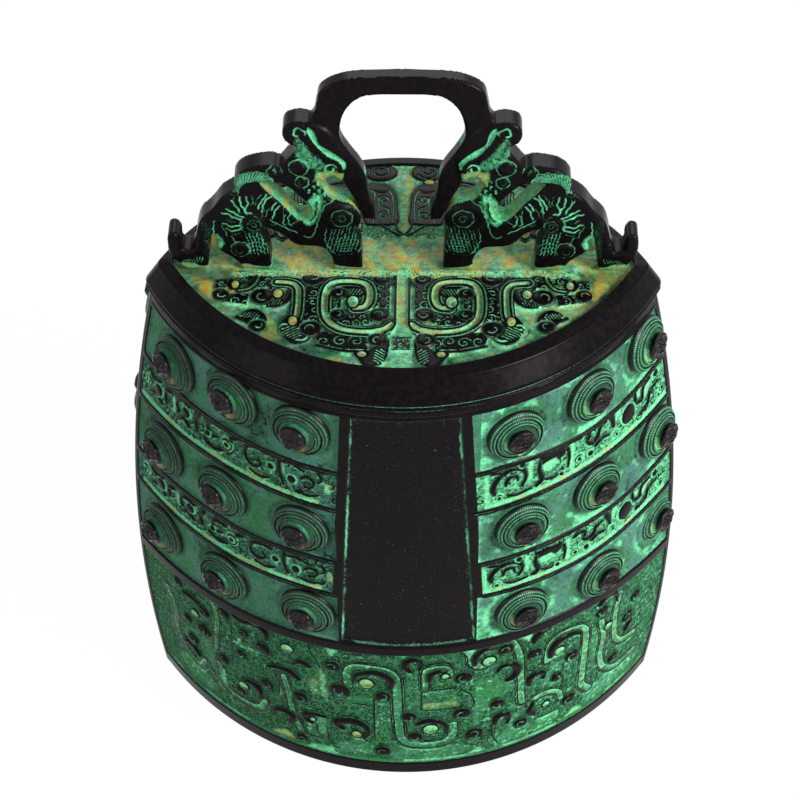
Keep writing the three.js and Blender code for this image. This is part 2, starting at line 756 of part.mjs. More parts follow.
function beastSolid() {
  const outline = beastRunShares.flatMap((run) => smoothRun(run, run.length > 2 ? 2 : 1).slice(0, -1));
  const shape = new THREE.Shape(outline);
  const gap = crestGapShares.map(handlePoint);
  shape.holes.push(new THREE.Path(gap));
  return standingPlate(shape, beastThickness);
}

function loopSolid() {
  const half = [
    ...smoothRun(loopOuterShares, 2).slice(0, -1),
    ...smoothRun(loopShoulderShares, 1).slice(0, -1),
    ...smoothRun(loopFootShares, 2),
    ...smoothRun(loopInnerShares, 2),
  ];
  const mirrored = half.slice(1).reverse().map((point) => new THREE.Vector2(-point.x, point.y));
  return standingPlate(new THREE.Shape([...half, ...mirrored]), loopThickness);
}

// A raised round on both faces, such as a shoulder, a hip or an eye
function discSolid(share, radius, relief, sides) {
  const centre = handlePoint(share);
  const depth = beastThickness + 2 * relief;
  const geometry = new THREE.LatheGeometry([
    new THREE.Vector2(0, -depth / 2),
    new THREE.Vector2(radius - relief, -depth / 2),
    new THREE.Vector2(radius, -beastThickness / 2 + handleBevel),
    new THREE.Vector2(radius, beastThickness / 2 - handleBevel),
    new THREE.Vector2(radius - relief, depth / 2),
    new THREE.Vector2(0, depth / 2),
  ], sides);
  geometry.translate(centre.x, 0, centre.y);
  return toSolid(geometry);
}

function handle() {
  const beast = beastSolid()
    .add(discSolid(hornShare, hornRadius, 0, 12))
    .add(discSolid(shoulderShare, shoulderDiscRadius, jointDiscRelief, 14))
    .add(discSolid(hipShare, hipDiscRadius, jointDiscRelief, 14))
    .add(discSolid(eyeShare, eyeRadius, jointDiscRelief, 8));
  const whole = loopSolid().add(beast).add(beast.mirror([1, 0, 0]));
  const mesh = meshOf('handle', toGeometry(whole), bronze);
  mesh.position.z = padTop + seatClearance;
  return mesh;
}

const bell = new THREE.Group();
bell.add(bellBody(), bosses(), crownPlate(), handle());

export default bell;
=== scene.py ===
import math
import bpy
import numpy as np
from mathutils import Matrix, Vector


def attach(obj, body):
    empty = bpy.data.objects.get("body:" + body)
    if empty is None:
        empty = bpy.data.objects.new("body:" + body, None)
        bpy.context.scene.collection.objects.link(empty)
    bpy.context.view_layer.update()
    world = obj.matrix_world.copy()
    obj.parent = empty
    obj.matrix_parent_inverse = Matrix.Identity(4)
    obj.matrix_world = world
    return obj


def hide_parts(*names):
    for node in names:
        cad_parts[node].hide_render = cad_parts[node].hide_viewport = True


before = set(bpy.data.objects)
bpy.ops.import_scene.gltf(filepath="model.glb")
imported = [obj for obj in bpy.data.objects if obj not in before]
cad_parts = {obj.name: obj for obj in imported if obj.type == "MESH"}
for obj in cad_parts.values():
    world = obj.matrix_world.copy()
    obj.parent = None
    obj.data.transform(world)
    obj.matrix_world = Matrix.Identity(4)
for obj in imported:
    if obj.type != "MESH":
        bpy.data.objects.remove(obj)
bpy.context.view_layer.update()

MM = 0.001
FRONT, BACK = -1, 1

# ---------------------------------------------------------------- camera

ELEVATION, AZIMUTH, ROLL = math.radians(45.0), math.radians(0.9948), math.radians(-0.3757)
TARGET = Vector((-0.00146, 0, 0.15717))
DISTANCE = 0.99


def make_camera():
    back = Vector((
        math.sin(AZIMUTH) * math.cos(ELEVATION),
        -math.cos(AZIMUTH) * math.cos(ELEVATION),
        math.sin(ELEVATION),
    ))
    right = (-back).cross(Vector((0, 0, 1))).normalized()
    up = right.cross(-back)
    turned_right = right * math.cos(ROLL) + up * math.sin(ROLL)
    turned_up = up * math.cos(ROLL) - right * math.sin(ROLL)
    data = bpy.data.cameras.new("camera")
    data.lens = 113.98
    data.sensor_width = 36
    data.clip_start = 0.05
    data.clip_end = 20
    camera = bpy.data.objects.new("camera", data)
    bpy.context.scene.collection.objects.link(camera)
    turn = Matrix((turned_right, turned_up, back)).transposed()
    camera.matrix_world = Matrix.Translation(TARGET + back * DISTANCE) @ turn.to_4x4()
    bpy.context.scene.camera = camera


make_camera()

# ---------------------------------------------------------------- sizes, in mm

MOUTH_HALF_WIDTH, MOUTH_HALF_DEPTH = 103.5, 61.5
NECK_HALF_WIDTH, NECK_HALF_DEPTH = 93.8, 64.0
BELLY_BULGE = 9.8
FLATTENING = 0.2
EDGE_SHARE = 0.985
BODY_HEIGHT = 217.3
SKIRT_LEVEL = 80.3
FACE_WALL, EDGE_WALL = 5.0, 8.5
LIP_WIDTH, LIP_HEIGHT = 3.0, 9.0


def mix(a, b, t):
    return a + (b - a) * t


def soft(x):
    x = np.clip(x, 0, 1)
    return x * x * (3 - 2 * x)


def section_point(half_width, half_depth, share, side):
    radius = (half_width ** 2 + half_depth ** 2) / (2 * half_depth)
    angle = np.arctan2(half_width, radius - half_depth) * share
    arc_x, arc_y = radius * np.sin(angle), radius * (np.cos(angle) - 1) + half_depth
    oval_x = half_width * np.sin(np.pi / 2 * share)
    oval_y = half_depth * np.cos(np.pi / 2 * share)
    x = arc_x + (oval_x - arc_x) * -FLATTENING
    y = arc_y + (oval_y - arc_y) * -FLATTENING
    return x, y * side


def body_section(z):
    u = z / BODY_HEIGHT
    half_width = mix(MOUTH_HALF_WIDTH, NECK_HALF_WIDTH, u) + BELLY_BULGE * 4 * u * (1 - u)
    return half_width, mix(MOUTH_HALF_DEPTH, NECK_HALF_DEPTH, u)


def body_point(share, z, side):
    half_width, half_depth = body_section(z)
    x, y = section_point(half_width, half_depth, share, side)
    return np.stack(np.broadcast_arrays(x, y, z), -1)


def body_frame(share, z, side):
    step = 1e-4
    point = body_point(share, z, side)
    along = (body_point(share + step, z, side) - point) / step
    up = (body_point(share, z + step, side) - point) / step
    normal = np.cross(along, up) * -side
    return point, along, normal / np.linalg.norm(normal, axis=-1, keepdims=True)


class ArcTable:
    """Distance along the face from its middle for each share of the section, at each height."""

    def __init__(self):
        self.shares = np.linspace(0, 1, 161)
        self.heights = np.linspace(0, BODY_HEIGHT, 24)
        rows = []
        for z in self.heights:
            steps = np.diff(body_point(self.shares, z, FRONT)[:, :2], axis=0)
            rows.append(np.append(0, np.cumsum(np.linalg.norm(steps, axis=1))))
        self.lengths = np.array(rows)

    def share(self, length, z):
        row = np.array([np.interp(abs(length), r, self.shares) for r in self.lengths])
        return math.copysign(np.interp(z, self.heights, row), length)

    def lengths_at(self, shares, z):
        row = np.array([np.interp(z, self.heights, column) for column in self.lengths.T])
        return np.sign(shares) * np.interp(np.abs(shares), self.shares, row)


arcs = ArcTable()

# ---------------------------------------------------------------- relief canvas

DARK = {"bare": 1, "deep": 0, "ochre": 0}


def smooth_path(points, step=0.4, closed=False):
    p = np.asarray(points, float)
    if closed:
        p = np.vstack([p[-1], p, p[0], p[1]])
    else:
        p = np.vstack([2 * p[0] - p[1], p, 2 * p[-1] - p[-2]])
    runs = []
    for a, b, c, d in zip(p[:-3], p[1:-2], p[2:-1], p[3:]):
        count = max(1, int(np.ceil(np.linalg.norm(c - b) / step)))
        t = np.arange(count)[:, None] / count
        runs.append(
            (2 * b + (c - a) * t + (2 * a - 5 * b + 4 * c - d) * t ** 2
             + (3 * b - a - 3 * c + d) * t ** 3) / 2
        )
    if not closed:
        runs.append(p[-2:-1])
    return np.vstack(runs)


def spiral_path(centre, radius, turns, start=0, hand=1, inner=0):
    t = np.linspace(0, 1, max(8, int(abs(turns) * 20)))
    angle = math.radians(start) + hand * 2 * np.pi * turns * t
    r = mix(radius, inner, t)
    return np.stack([centre[0] + r * np.cos(angle), centre[1] + r * np.sin(angle)], -1)


def circle(centre, radius):
    return spiral_path(centre, radius, 1, inner=radius)


def enclosed(outline, x, y):
    """Which points of a grid lie inside a closed outline."""
    x, y = x[None, :], y[:, None]
    odd = np.zeros((y.size, x.size), bool)
    for (ax, ay), (bx, by) in zip(outline, np.roll(outline, -1, 0)):
        if ay != by:
            odd ^= ((ay > y) != (by > y)) & (x < (bx - ax) * (y - ay) / (by - ay) + ax)
    return odd


def blurred(a, sigma):
    reach = int(3 * sigma) + 1
    kernel = np.exp(-0.5 * (np.arange(-reach, reach + 1) / sigma) ** 2)
    kernel /= kernel.sum()
    for axis in (0, 1):
        pad = [(0, 0), (0, 0)]
        pad[axis] = (reach, reach)
        wide = np.pad(a, pad, mode="edge")
        n = a.shape[axis]
        a = sum(w * np.take(wide, range(k, k + n), axis) for k, w in enumerate(kernel))
    return a


class Canvas:
    """A flat map of relief and finish, in mm, that is later wrapped over a surface."""

    layers = ("height", "bare", "ochre", "bright", "deep")

    def __init__(self, u0, u1, v0, v1, step):
        self.u0, self.v0, self.step = u0, v0, step
        self.u = np.arange(u0, u1 + step / 2, step)
        self.v = np.arange(v0, v1 + step / 2, step)
        for name in self.layers:
            setattr(self, name, np.zeros((len(self.v), len(self.u)), np.float32))

    def window(self, low, high):
        """Rows and columns between two corners, none of them where that is off the canvas."""
        spans = []
        for k, start, count in ((1, self.v0, len(self.v)), (0, self.u0, len(self.u))):
            first = max(0, int((low[k] - start) / self.step))
            last = min(count, int((high[k] - start) / self.step) + 2)
            spans.append(slice(first, max(first, last)))
        return tuple(spans)

    def about(self, centre, reach):
        """Window round a point, and how far its cells lie to the right of it and above it."""
        where = self.window(np.array(centre) - reach, np.array(centre) + reach)
        return where, self.u[where[1]][None, :] - centre[0], self.v[where[0]][:, None] - centre[1]

    def near(self, path, reach, closed=False):
        """Window, distance, run along and side of the path for the cells near it."""
        q = np.vstack([path, path[:1]]) if closed else np.asarray(path, float)
        where = self.window(q.min(0) - reach, q.max(0) + reach)
        shape = [part.stop - part.start for part in where]
        distance = np.full(shape, reach * 2, np.float32)
        along = np.zeros(shape, np.float32)
        side = np.ones(shape, np.float32)
        run = 0.0
        for p, r in zip(q[:-1], q[1:]):
            d = r - p
            length = math.hypot(*d)
            if length < 1e-6:
                continue
            small = self.window(np.minimum(p, r) - reach, np.maximum(p, r) + reach)
            x = self.u[small[1]][None, :] - p[0]
            y = self.v[small[0]][:, None] - p[1]
            t = np.clip((x * d[0] + y * d[1]) / length ** 2, 0, 1)
            gap = np.hypot(x - t * d[0], y - t * d[1])
            here = tuple(slice(a.start - b.start, a.stop - b.start) for a, b in zip(small, where))
            closer = gap < distance[here]
            distance[here] = np.where(closer, gap, distance[here])
            along[here] = np.where(closer, run + t * length, along[here])
            side[here] = np.where(closer, np.sign(d[0] * y - d[1] * x), side[here])
            run += length
        return where, distance, along, side, run

    def inside(self, path, edge=0.3):
        """Window and soft mask of a closed outline."""
        where = self.window(path.min(0) - 1, path.max(0) + 1)
        mask = enclosed(path, self.u[where[1]], self.v[where[0]])
        return where, blurred(mask.astype(np.float32), max(edge / self.step, 0.3))

    def paint(self, where, amount, **values):
        for name, value in values.items():
            layer = getattr(self, name)
            layer[where] += (value - layer[where]) * amount

    def cover(self, amount, **values):
        self.paint(np.s_[:, :], amount, **values)

    # -------- strokes

    def stroke(self, path, width, edge=0.3, taper=0, **values):
        where, distance, along, _, run = self.near(path, width / 2 + edge + 0.2)
        half = width / 2
        if taper:
            half = half * np.sqrt(np.clip(np.minimum(along, run - along) / taper, 0.05, 1))
        self.paint(where, soft((half - distance) / edge + 0.5), **values)

    def halo(self, centre, radius, width, **values):
        """A ring round a point."""
        point = np.array([centre, (centre[0] + 0.01, centre[1])])
        where, distance = self.near(point, radius + width + 0.6)[:2]
        self.paint(where, soft((width / 2 - np.abs(distance - radius)) / 0.25 + 0.5), **values)

    def area(self, path, edge=0.3, **values):
        self.paint(*self.inside(path, edge), **values)

    def dome(self, centre, rx, ry, rise, base=0, **values):
        where, x, y = self.about(centre, max(rx, ry) + 0.6)
        r = np.hypot(x / rx, y / ry)
        shape = base + rise * np.sqrt(np.clip(1 - r ** 2 * 0.85, 0, 1))
        amount = soft((1 - r) * min(rx, ry) / 0.3 + 0.5)
        self.paint(where, amount, height=shape, deep=0, **values)

    # -------- ornament

    def track(self, path, width, ochre, rise, doubled):
        """A smooth hollow band between raised dark lines."""
        where, distance = self.near(path, width / 2 + 2.2)[:2]
        past = distance - width / 2
        if doubled:
            self.paint(where, soft((2.15 - past) / 0.3), height=rise * 0.75, **DARK)
            self.paint(where, soft((0.26 - np.abs(past - 1.25)) / 0.25 + 0.5),
                       height=0.35, bare=0, bright=0.6)
        self.paint(where, soft((0.85 - past) / 0.3), height=rise, **DARK)
        hollow = 0.28 * (distance / (width / 2)) ** 2
        self.paint(where, soft((0.05 - past) / 0.3 + 0.5),
                   height=hollow, bare=0, ochre=ochre, bright=0.65, deep=0)

    def band(self, path, width, ochre):
        """A smooth hollow band between thin dark lines."""
        where, distance = self.near(path, width / 2 + 2.2)[:2]
        past = distance - width / 2
        self.paint(where, soft((1.5 - past) / 0.3 + 0.5),
                   height=0.35, bare=0, bright=0.3, ochre=0, deep=0.1)
        self.paint(where, soft((0.28 - np.abs(past - 1.35)) / 0.25 + 0.5),
                   height=0.5, bare=0.9, deep=0)
        self.paint(where, soft((0.75 - past) / 0.3 + 0.5), height=0.6, bare=0.95, deep=0, ochre=0)
        hollow = 0.1 + 0.35 * (distance / (width / 2)) ** 2
        self.paint(where, soft((0.05 - past) / 0.3 + 0.5),
                   height=hollow, bare=0, ochre=ochre, bright=0.5, deep=0)

    def roll(self, path, width, rise=1.2, thin=0.35):
        """A thick dark roll that tapers towards its end, with painted shadow close round it."""
        where, distance, along, _, run = self.near(path, width / 2 + 1.2)
        half = width / 2 * np.interp(along / run, [0, 0.12, 0.4, 1], [0.6, 0.95, 1, thin])
        past = distance - half
        # Painted shadow: a dark, dim ring just round the roll
        self.paint(where, soft((min(0.7, width * 0.25) - past) / 0.35),
                   height=0, bare=0, bright=0.1, deep=0.6, ochre=0)
        shape = 0.25 + rise * np.sqrt(np.clip(1 - (distance / half) ** 2, 0, 1))
        self.paint(where, soft(0.5 - past / 0.3), height=shape, **DARK)

    def knob(self, centre, rx, ry, ochre, bright, rise=1.0):
        """A small patinated round set in a dark collar, with painted shade on its lower part."""
        self.dome(centre, rx + 0.8, ry + 0.8, 0.1, 0.9, bare=1)
        self.dome(centre, rx, ry, rise, 0.25, bare=0, ochre=ochre, bright=bright)
        # Painted shade: a dimmer patch on the lower part of the round
        shaded = (centre[0] + rx * 0.25, centre[1] - ry * 0.45)
        self.dome(shaded, rx * 0.55, ry * 0.35, rise * 0.9, 0.25, bright=bright * 0.3)

    def disc(self, centre, radius, hand, start, rise):
        """A dark raised round with a curl cut into it, and a painted shadow in a ring round it."""
        # Painted shadow: a dim ring and a dark halo round the raised round
        self.dome(centre, radius + 0.8, radius + 0.8, 0.1, -0.1, bare=0, bright=0.1)
        self.halo(centre, radius + 0.35, 0.7, deep=0.6, bare=0.2)
        self.dome(centre, radius, radius, rise * 0.6, rise * 0.5, bare=1)
        path = spiral_path(centre, radius * 0.66, 0.62, start, hand, radius * 0.25)
        self.stroke(path, 0.5, 0.25, 0.6, height=rise * 0.45, bare=0.1, bright=0.5)

    def paint_lower_shading(self, centre, radius):
        """Painted shading on the lower side of a dark round: a lighter, greener finish there."""
        where, x, y = self.about(centre, radius)
        r = np.hypot(x, y) / radius
        amount = soft((1 - r) / 0.2) * soft(0.15 - 1.3 * y / radius) * 0.75
        self.paint(where, amount, bare=0.1, bright=0.35, deep=0.1)

    def comb(self, path, width, pitch, lean, depth):
        """Short cuts across a band."""
        where, distance, along, side, _ = self.near(path, width / 2 + 0.3)
        phase = np.cos(2 * np.pi * (along + lean * distance * side) / pitch)
        amount = soft(phase * 1.4 - 0.1) * soft((width / 2 - distance) / 0.4)
        self.height[where] -= depth * amount
        self.paint(where, amount, bare=0, bright=0.75)

    def curls(self, outline, pitch, turns, depth, base, angle=0, bare=1.0, line=0.42, dark=0):
        """A raised dark strip filled with rows of small cut spirals."""
        where, mask = self.inside(np.asarray(outline, float), 0.2)
        self.paint(where, mask, height=base, bare=bare, deep=0, ochre=0)
        c, s = math.cos(math.radians(angle)), math.sin(math.radians(angle))
        x = self.u[where[1]][None, :]
        y = self.v[where[0]][:, None]
        cut = curl_field(x * c + y * s, y * c - x * s, pitch, turns, line)
        cut = cut * soft((mask - 0.75) / 0.2)
        self.height[where] -= depth * cut
        self.paint(where, cut, bare=0, bright=0.6, deep=dark)


def curl_field(x, y, pitch, turns, line):
    """Strength of the cut lines of small spirals on a lattice, alternating in hand."""
    row = np.floor(y / pitch + 0.5)
    shifted = x + pitch * 0.5 * np.mod(row, 2)
    column = np.floor(shifted / pitch + 0.5)
    jitter_x = 0.16 * np.sin(column * 12.9898 + row * 78.233)
    jitter_y = 0.16 * np.sin(column * 39.346 + row * 11.135)
    dx = shifted - (column + jitter_x) * pitch
    dy = y - (row + jitter_y) * pitch
    hand = np.where(np.mod(column + row, 2) < 1, 1.0, -1.0)
    twist = np.floor(3 * (1 + np.sin(column * 7.1 + row * 3.7)))
    angle = np.arctan2(dy, dx) * hand + twist
    r = np.hypot(dx, dy) / (pitch * 0.5)
    wave = np.abs(np.mod(r * turns - angle / (2 * np.pi), 1.0) - 0.5) * pitch / turns
    return soft((line - wave) / 0.3 + 0.2) * soft((1.12 - r) / 0.25)


def clouds(canvas, size, seed):
    """Soft random patches between 0 and 1, about as large as size in mm."""
    cells = size / canvas.step
    rows, columns = int(len(canvas.v) / cells) + 3, int(len(canvas.u) / cells) + 3
    values = np.random.RandomState(seed).rand(rows, columns)
    y, x = np.arange(len(canvas.v)) / cells, np.arange(len(canvas.u)) / cells
    j, i = y.astype(int)[:, None], x.astype(int)[None, :]
    ty, tx = y[:, None] - j, x[None, :] - i
    ty, tx = ty * ty * (3 - 2 * ty), tx * tx * (3 - 2 * tx)
    low = mix(values[j, i], values[j, i + 1], tx)
    high = mix(values[j + 1, i], values[j + 1, i + 1], tx)
    return mix(low, high, ty)


def sample(canvas, name, u, v):
    layer = getattr(canvas, name)
    x = np.clip((u - canvas.u0) / canvas.step, 0, len(canvas.u) - 1.001)
    y = np.clip((v - canvas.v0) / canvas.step, 0, len(canvas.v) - 1.001)
    i, j = x.astype(int), y.astype(int)
    fx, fy = x - i, y - j
    low = layer[j, i] * (1 - fx) + layer[j, i + 1] * fx
    high = layer[j + 1, i] * (1 - fx) + layer[j + 1, i + 1] * fx
    return low * (1 - fy) + high * fy


# ---------------------------------------------------------------- the face of the body

UPPER_TOP = [
    (-130, 186), (-110, 185), (-70, 183), (-40, 181), (0, 179), (30, 179), (40, 180), (70, 180),
    (90, 182), (110, 185), (130, 187),
]
UPPER_BOTTOM = [
    (-130, 163.5), (-80, 163.5), (-60, 162.5), (-30, 160), (0, 158), (30, 157.5), (60, 160),
    (80, 161.5), (110, 164), (130, 165),
]
LOWER_TOP = [
    (-130, 134), (-80, 133), (-65, 131.5), (-35, 130.5), (0, 128.5), (30, 128), (60, 129.5),
    (90, 131), (110, 134), (130, 136),
]
LOWER_BOTTOM = [
    (-130, 117), (-120, 116.5), (-70, 112.5), (-40, 111.5), (0, 109), (35, 109), (70, 110),
    (85, 111), (110, 114.5), (130, 116),
]
SKIRT_TOP = [(-130, 80.3), (130, 80.3)]
FRAME_LEFT = ((-28.4, 80), (-27, 112), (-24.8, 160), (-22.2, 212))
FRAME_RIGHT = ((33, 80), (31.2, 112), (28.4, 160), (25.6, 212))
NECK_LINE = [(-130, 211), (130, 211)]
FIELDS = [(SKIRT_TOP, LOWER_BOTTOM), (LOWER_TOP, UPPER_BOTTOM), (UPPER_TOP, NECK_LINE)]
PANEL_LINES_LEFT = [(133, 171, 4.4), (86, 101, 4.4), (112, 117, 4.6), (196, 201, 4.4)]
PANEL_LINES_RIGHT = [
    (84, 93, -4.4), (95, 108, -4.5), (113, 118, -4.3), (134, 151, -4.4), (188, 204, -4.6),
    (169, 173, -4.4),
]
BOSS_RADIUS = 11.6
COIL_PITCH = 2.3
KNOB_RADIUS = 5.4
BOSS_PLACES = {
    "upper": {"right": ((42.3, 194.8), (75.5, 197), (108, 200)),
              "left": ((-38, 199), (-67, 201), (-98.5, 197))},
    "middle": {"right": ((46.3, 144), (80, 147), (115, 151)),
               "left": ((-39.5, 145.5), (-74, 148), (-106.5, 148))},
    "lower": {"right": ((47.5, 94.5), (84.5, 94.5), (119.5, 99)),
              "left": ((-38.3, 97.5), (-76, 98), (-110.5, 100))},
}

SKIRT_TRACKS = [
    (3.2, 0, [(-22, 55), (-22.5, 62), (-21, 66.5), (-17, 68), (-10, 67.5), (-6, 66.5),
        (-3.5, 63.5), (-2.5, 58), (-2, 40), (-1.5, 30), (-1, 24), (1.5, 20), (5, 18.5), (10, 18),
        (16, 18.5), (19, 20.5), (20.5, 24), (20.5, 30)]),
    (2.4, 0.1, [(9, 55.5), (9, 65), (10.5, 67.3), (16, 68), (18.4, 66), (19, 63)]),
    (2.8, 0.1, [(25.5, 76.5), (27.5, 73), (28, 68.5), (30, 65.8), (33, 65)]),
    (3, 0.2, [(61, 55), (61.5, 62), (63, 66), (67, 68), (73, 67.5), (78, 65), (80, 58), (79.5, 30),
        (81, 24), (84, 20)]),
    (2.6, 0.2, [(-83, 36), (-82, 25), (-78, 20.5), (-70, 19.5), (-63, 21), (-60, 27)]),
    (2.6, 0.1, [(44, 77), (47, 70), (48.5, 62), (49, 52), (49.5, 40), (50, 34)]),
    (2.4, 0.1, [(-50, 50), (-48.5, 42), (-47.5, 34), (-46, 24), (-43, 16)]),
    (2.4, 0.2, [(54, 30), (57, 33), (63, 33), (67.5, 30), (69, 25)]),
    (2.6, 0.2, [(98, 72), (96, 60), (97, 45), (102, 38), (110, 36)]),
    (2.6, 0.2, [(88, 62), (90, 50), (89, 38), (92, 28), (100, 22), (112, 22)]),
    (2.6, 0.1, [(-112, 62), (-108, 50), (-109, 38), (-104, 28), (-96, 24), (-92, 30)]),
    (2.2, 0.1, [(-84, 76), (-82, 66), (-83, 56), (-84, 46)]),
]
SKIRT_HOOKS = [
    (3.6, [(-5, 56), (-5, 61), (-9, 64.6), (-14, 65), (-18.5, 62.5), (-20, 58.5)]),
    (4.4, [(-25, 26), (-27.3, 28.4), (-25, 30.6), (-20, 31.4), (-15.8, 29.4), (-14.4, 25),
        (-16, 21)]),
    (3.2, [(-38, 25), (-41, 26.6), (-40.5, 29.6), (-37, 31), (-32, 31.2)]),
    (3.8, [(43, 52), (46.4, 53.5), (47.4, 57.5), (45, 61.5), (41, 62), (38.5, 59.5)]),
    (4.4, [(62.5, 57), (63.5, 62), (67, 65), (73, 65), (77, 62.5)]),
    (3.6, [(52.8, 44), (53.4, 48), (57, 49.6), (60, 47.4), (59, 45)]),
    (3.4, [(38, 25), (39.5, 29), (43, 29.4), (44.6, 26), (43.6, 23)]),
    (3, [(6, 32.4), (10, 34), (14.5, 33), (17.6, 29.4), (18, 24)]),
    (2.8, [(10.6, 60), (11.4, 64), (14.4, 66), (17.4, 65.4)]),
    (3.2, [(3, 66.8), (0.9, 69.6), (2.2, 73.4), (6, 74), (7.6, 70.6), (6.6, 68)]),
    (3, [(-38, 62), (-42, 63.4), (-45, 60.6)]),
    (3.4, [(-43, 51.5), (-47, 54.4), (-52, 54.8), (-57, 53)]),
    (3.8, [(-48, 20), (-47.4, 24.6), (-51, 26.6), (-55, 24.6), (-56, 21)]),
    (3.6, [(-61.6, 30), (-62.6, 34), (-66.4, 36), (-70.4, 34)]),
    (3.4, [(-57, 70), (-57.6, 74.6), (-62, 76.4), (-68, 74.6), (-73, 76)]),
    (3.6, [(-86, 64), (-89.6, 67), (-95, 69.4), (-101, 69)]),
    (3.2, [(-87, 52), (-90, 55), (-94, 54)]), (3, [(29, 67), (29.6, 72), (33, 75.4), (38, 75)]),
    (3.4, [(54, 71), (56.4, 75), (61, 76)]), (3.6, [(86, 74), (90, 76.6), (95, 74.6), (96, 69)]),
    (3.2, [(56, 22), (54, 26), (55.4, 30.6)]), (3, [(103, 44), (106, 48), (104, 53)]),
    (3, [(-104, 34), (-99, 35.6), (-94, 32)]),
]
SKIRT_DISCS = [
    (-8, 50, 3.2), (-25.5, 50.4, 4.2), (-28.4, 65.4, 3.2), (2.5, 37, 3), (24, 36.4, 3.6),
    (24.5, 59.6, 3.6), (29.5, 21, 3.8), (5, 23.5, 3), (-8.4, 13.4, 3.1), (-42.8, 39.4, 3.4),
    (-58.2, 39.6, 3.2), (-59, 62.4, 3.6), (42, 72, 3.4), (54.6, 63, 3.4), (73, 50.5, 3.4),
    (-80, 41, 3), (-91, 52, 3), (39, 37.6, 3), (-89.4, 65, 3.4), (66, 41, 2.6), (-70, 52, 2.6),
    (88, 68, 3.2), (104, 52, 3.2), (97, 30, 3), (73, 21, 3.4), (-78, 72.4, 3.2), (-98, 40, 3.2),
    (-72, 26, 2.6), (50, 19.6, 3), (-43, 12, 2.6), (-104, 72, 2.8), (108, 62, 3), (-68, 67, 2.4),
    (-100, 52, 2.6),
]
SKIRT_KNOBS = [
    (-14.5, 58, 2.8, 0.35), (-19, 23.6, 1.9, 0.49), (17, 62.5, 1.5, 0.15), (34.9, 67.6, 2.6, 0.15),
    (61.5, 26, 1.6, 0.15), (11.2, 28.6, 2.9, 0.15), (-47.6, 69.2, 2.6, 0.15),
    (66.6, 58.4, 2.2, 0.15), (-70, 31, 2.2, 0.42), (-37.6, 27.4, 1.2, 0.15), (92, 56, 1.9, 0.21),
    (-94.5, 60, 2, 0.21),
]
SKIRT_PATCHES = [
    (1, 0, [(-32, 77), (-25, 77), (-29, 71.6)]), (1, 0.1, [(47, 77), (56, 77), (53, 72)]),
    (1, 0, [(-3, 76.6), (4, 76.6), (1, 74.4)]), (1, 0, [(24, 77), (30, 77), (28, 72)]),
    (1, 0, [(-40, 7.5), (-28, 7.5), (-29, 10.6), (-39, 10.4)]),
    (1, 0.1, [(26, 7.4), (35.5, 7.4), (32, 11.4)]),
    (0.9, 0.7, [(-58, 8.6), (-46, 8.6), (-50, 13.5)]), (0.9, 0.2, [(70, 8), (82, 8), (78, 12)]),
    (1, 0, [(-20.6, 20), (-15.6, 20), (-16.6, 18.6), (-20, 18.6)]),
    (0.9, 0, [(-20, 56), (-12.6, 55.6), (-13, 54.4), (-19, 54.8)]),
    (0.95, 0.1, [(60, 56.6), (69, 56), (68.6, 54), (61, 54.2)]),
    (0.8, 0.2, [(-33.6, 63), (-31.6, 58), (-30.4, 44), (-34, 44), (-34.4, 58)]),
    (0.7, 0.2, [(-39.5, 52), (-35, 56), (-34.6, 44.4), (-38, 45)]),
    (0.65, 0.3, [(8.4, 45.2), (22, 45.2), (22, 41.8), (8.4, 41.8)]),
    (0.8, 0, [(-72.6, 56), (-72, 62), (-69.4, 62), (-70, 58.4), (-60, 58.8), (-60, 57.4)]),
    (0.8, 0, [(-64, 20), (-61, 25.4), (-59, 26), (-61, 20)]),
    (0.85, 0, [(-82, 33), (-80.4, 34), (-79.4, 24), (-82, 25)]),
]
SKIRT_SMOOTH = [
    (0.35, [(29.6, 55), (39, 54), (41.4, 45), (36, 37), (31.4, 31), (30.6, 24.6), (28.4, 27),
        (30, 42)]),
    (0.35, [(41, 51), (47.2, 47), (48, 36), (44, 31), (60, 29.6), (66, 28), (60, 32), (52, 36)]),
    (0.45, [(-11, 16.6), (24, 15.6), (27, 12), (23, 8), (-5, 8), (-4.4, 12)]),
    (0.4, [(45, 27), (50, 25), (56, 12), (44, 8.6), (38, 11), (44, 18)]),
    (0.45, [(58, 16.8), (68, 16.8), (67, 10), (56, 9)]),
    (0.5, [(-27.6, 15), (-13, 18), (-12.6, 10.6), (-26, 10)]),
    (0.5, [(-47, 36), (-45, 26), (-41, 15), (-44, 13), (-48.4, 22)]),
    (0.55, [(-36, 29.6), (-32, 29), (-31.4, 19), (-36, 19)]),
    (0.5, [(-40.4, 23), (-37, 22.6), (-36, 17.4), (-39.6, 17.6)]),
    (0.35, [(63, 50), (67, 50), (68.4, 36), (66, 34.6), (58, 39), (61, 45)]),
    (0.3, [(-93, 45), (-86, 45), (-85, 31), (-92, 31)]),
    (0.3, [(-102, 44), (-95, 47), (-97, 34), (-103, 36)]),
    (0.45, [(-108, 22), (-92, 22), (-88, 12), (-106, 12)]),
    (0.35, [(84, 40), (88, 40), (88, 58), (84, 58)]),
    (0.45, [(86, 20), (112, 18), (110, 11), (84, 10)]),
    (0.3, [(-22, 47.4), (-13, 47.4), (-13, 44.4), (-22, 44.4)]),
]
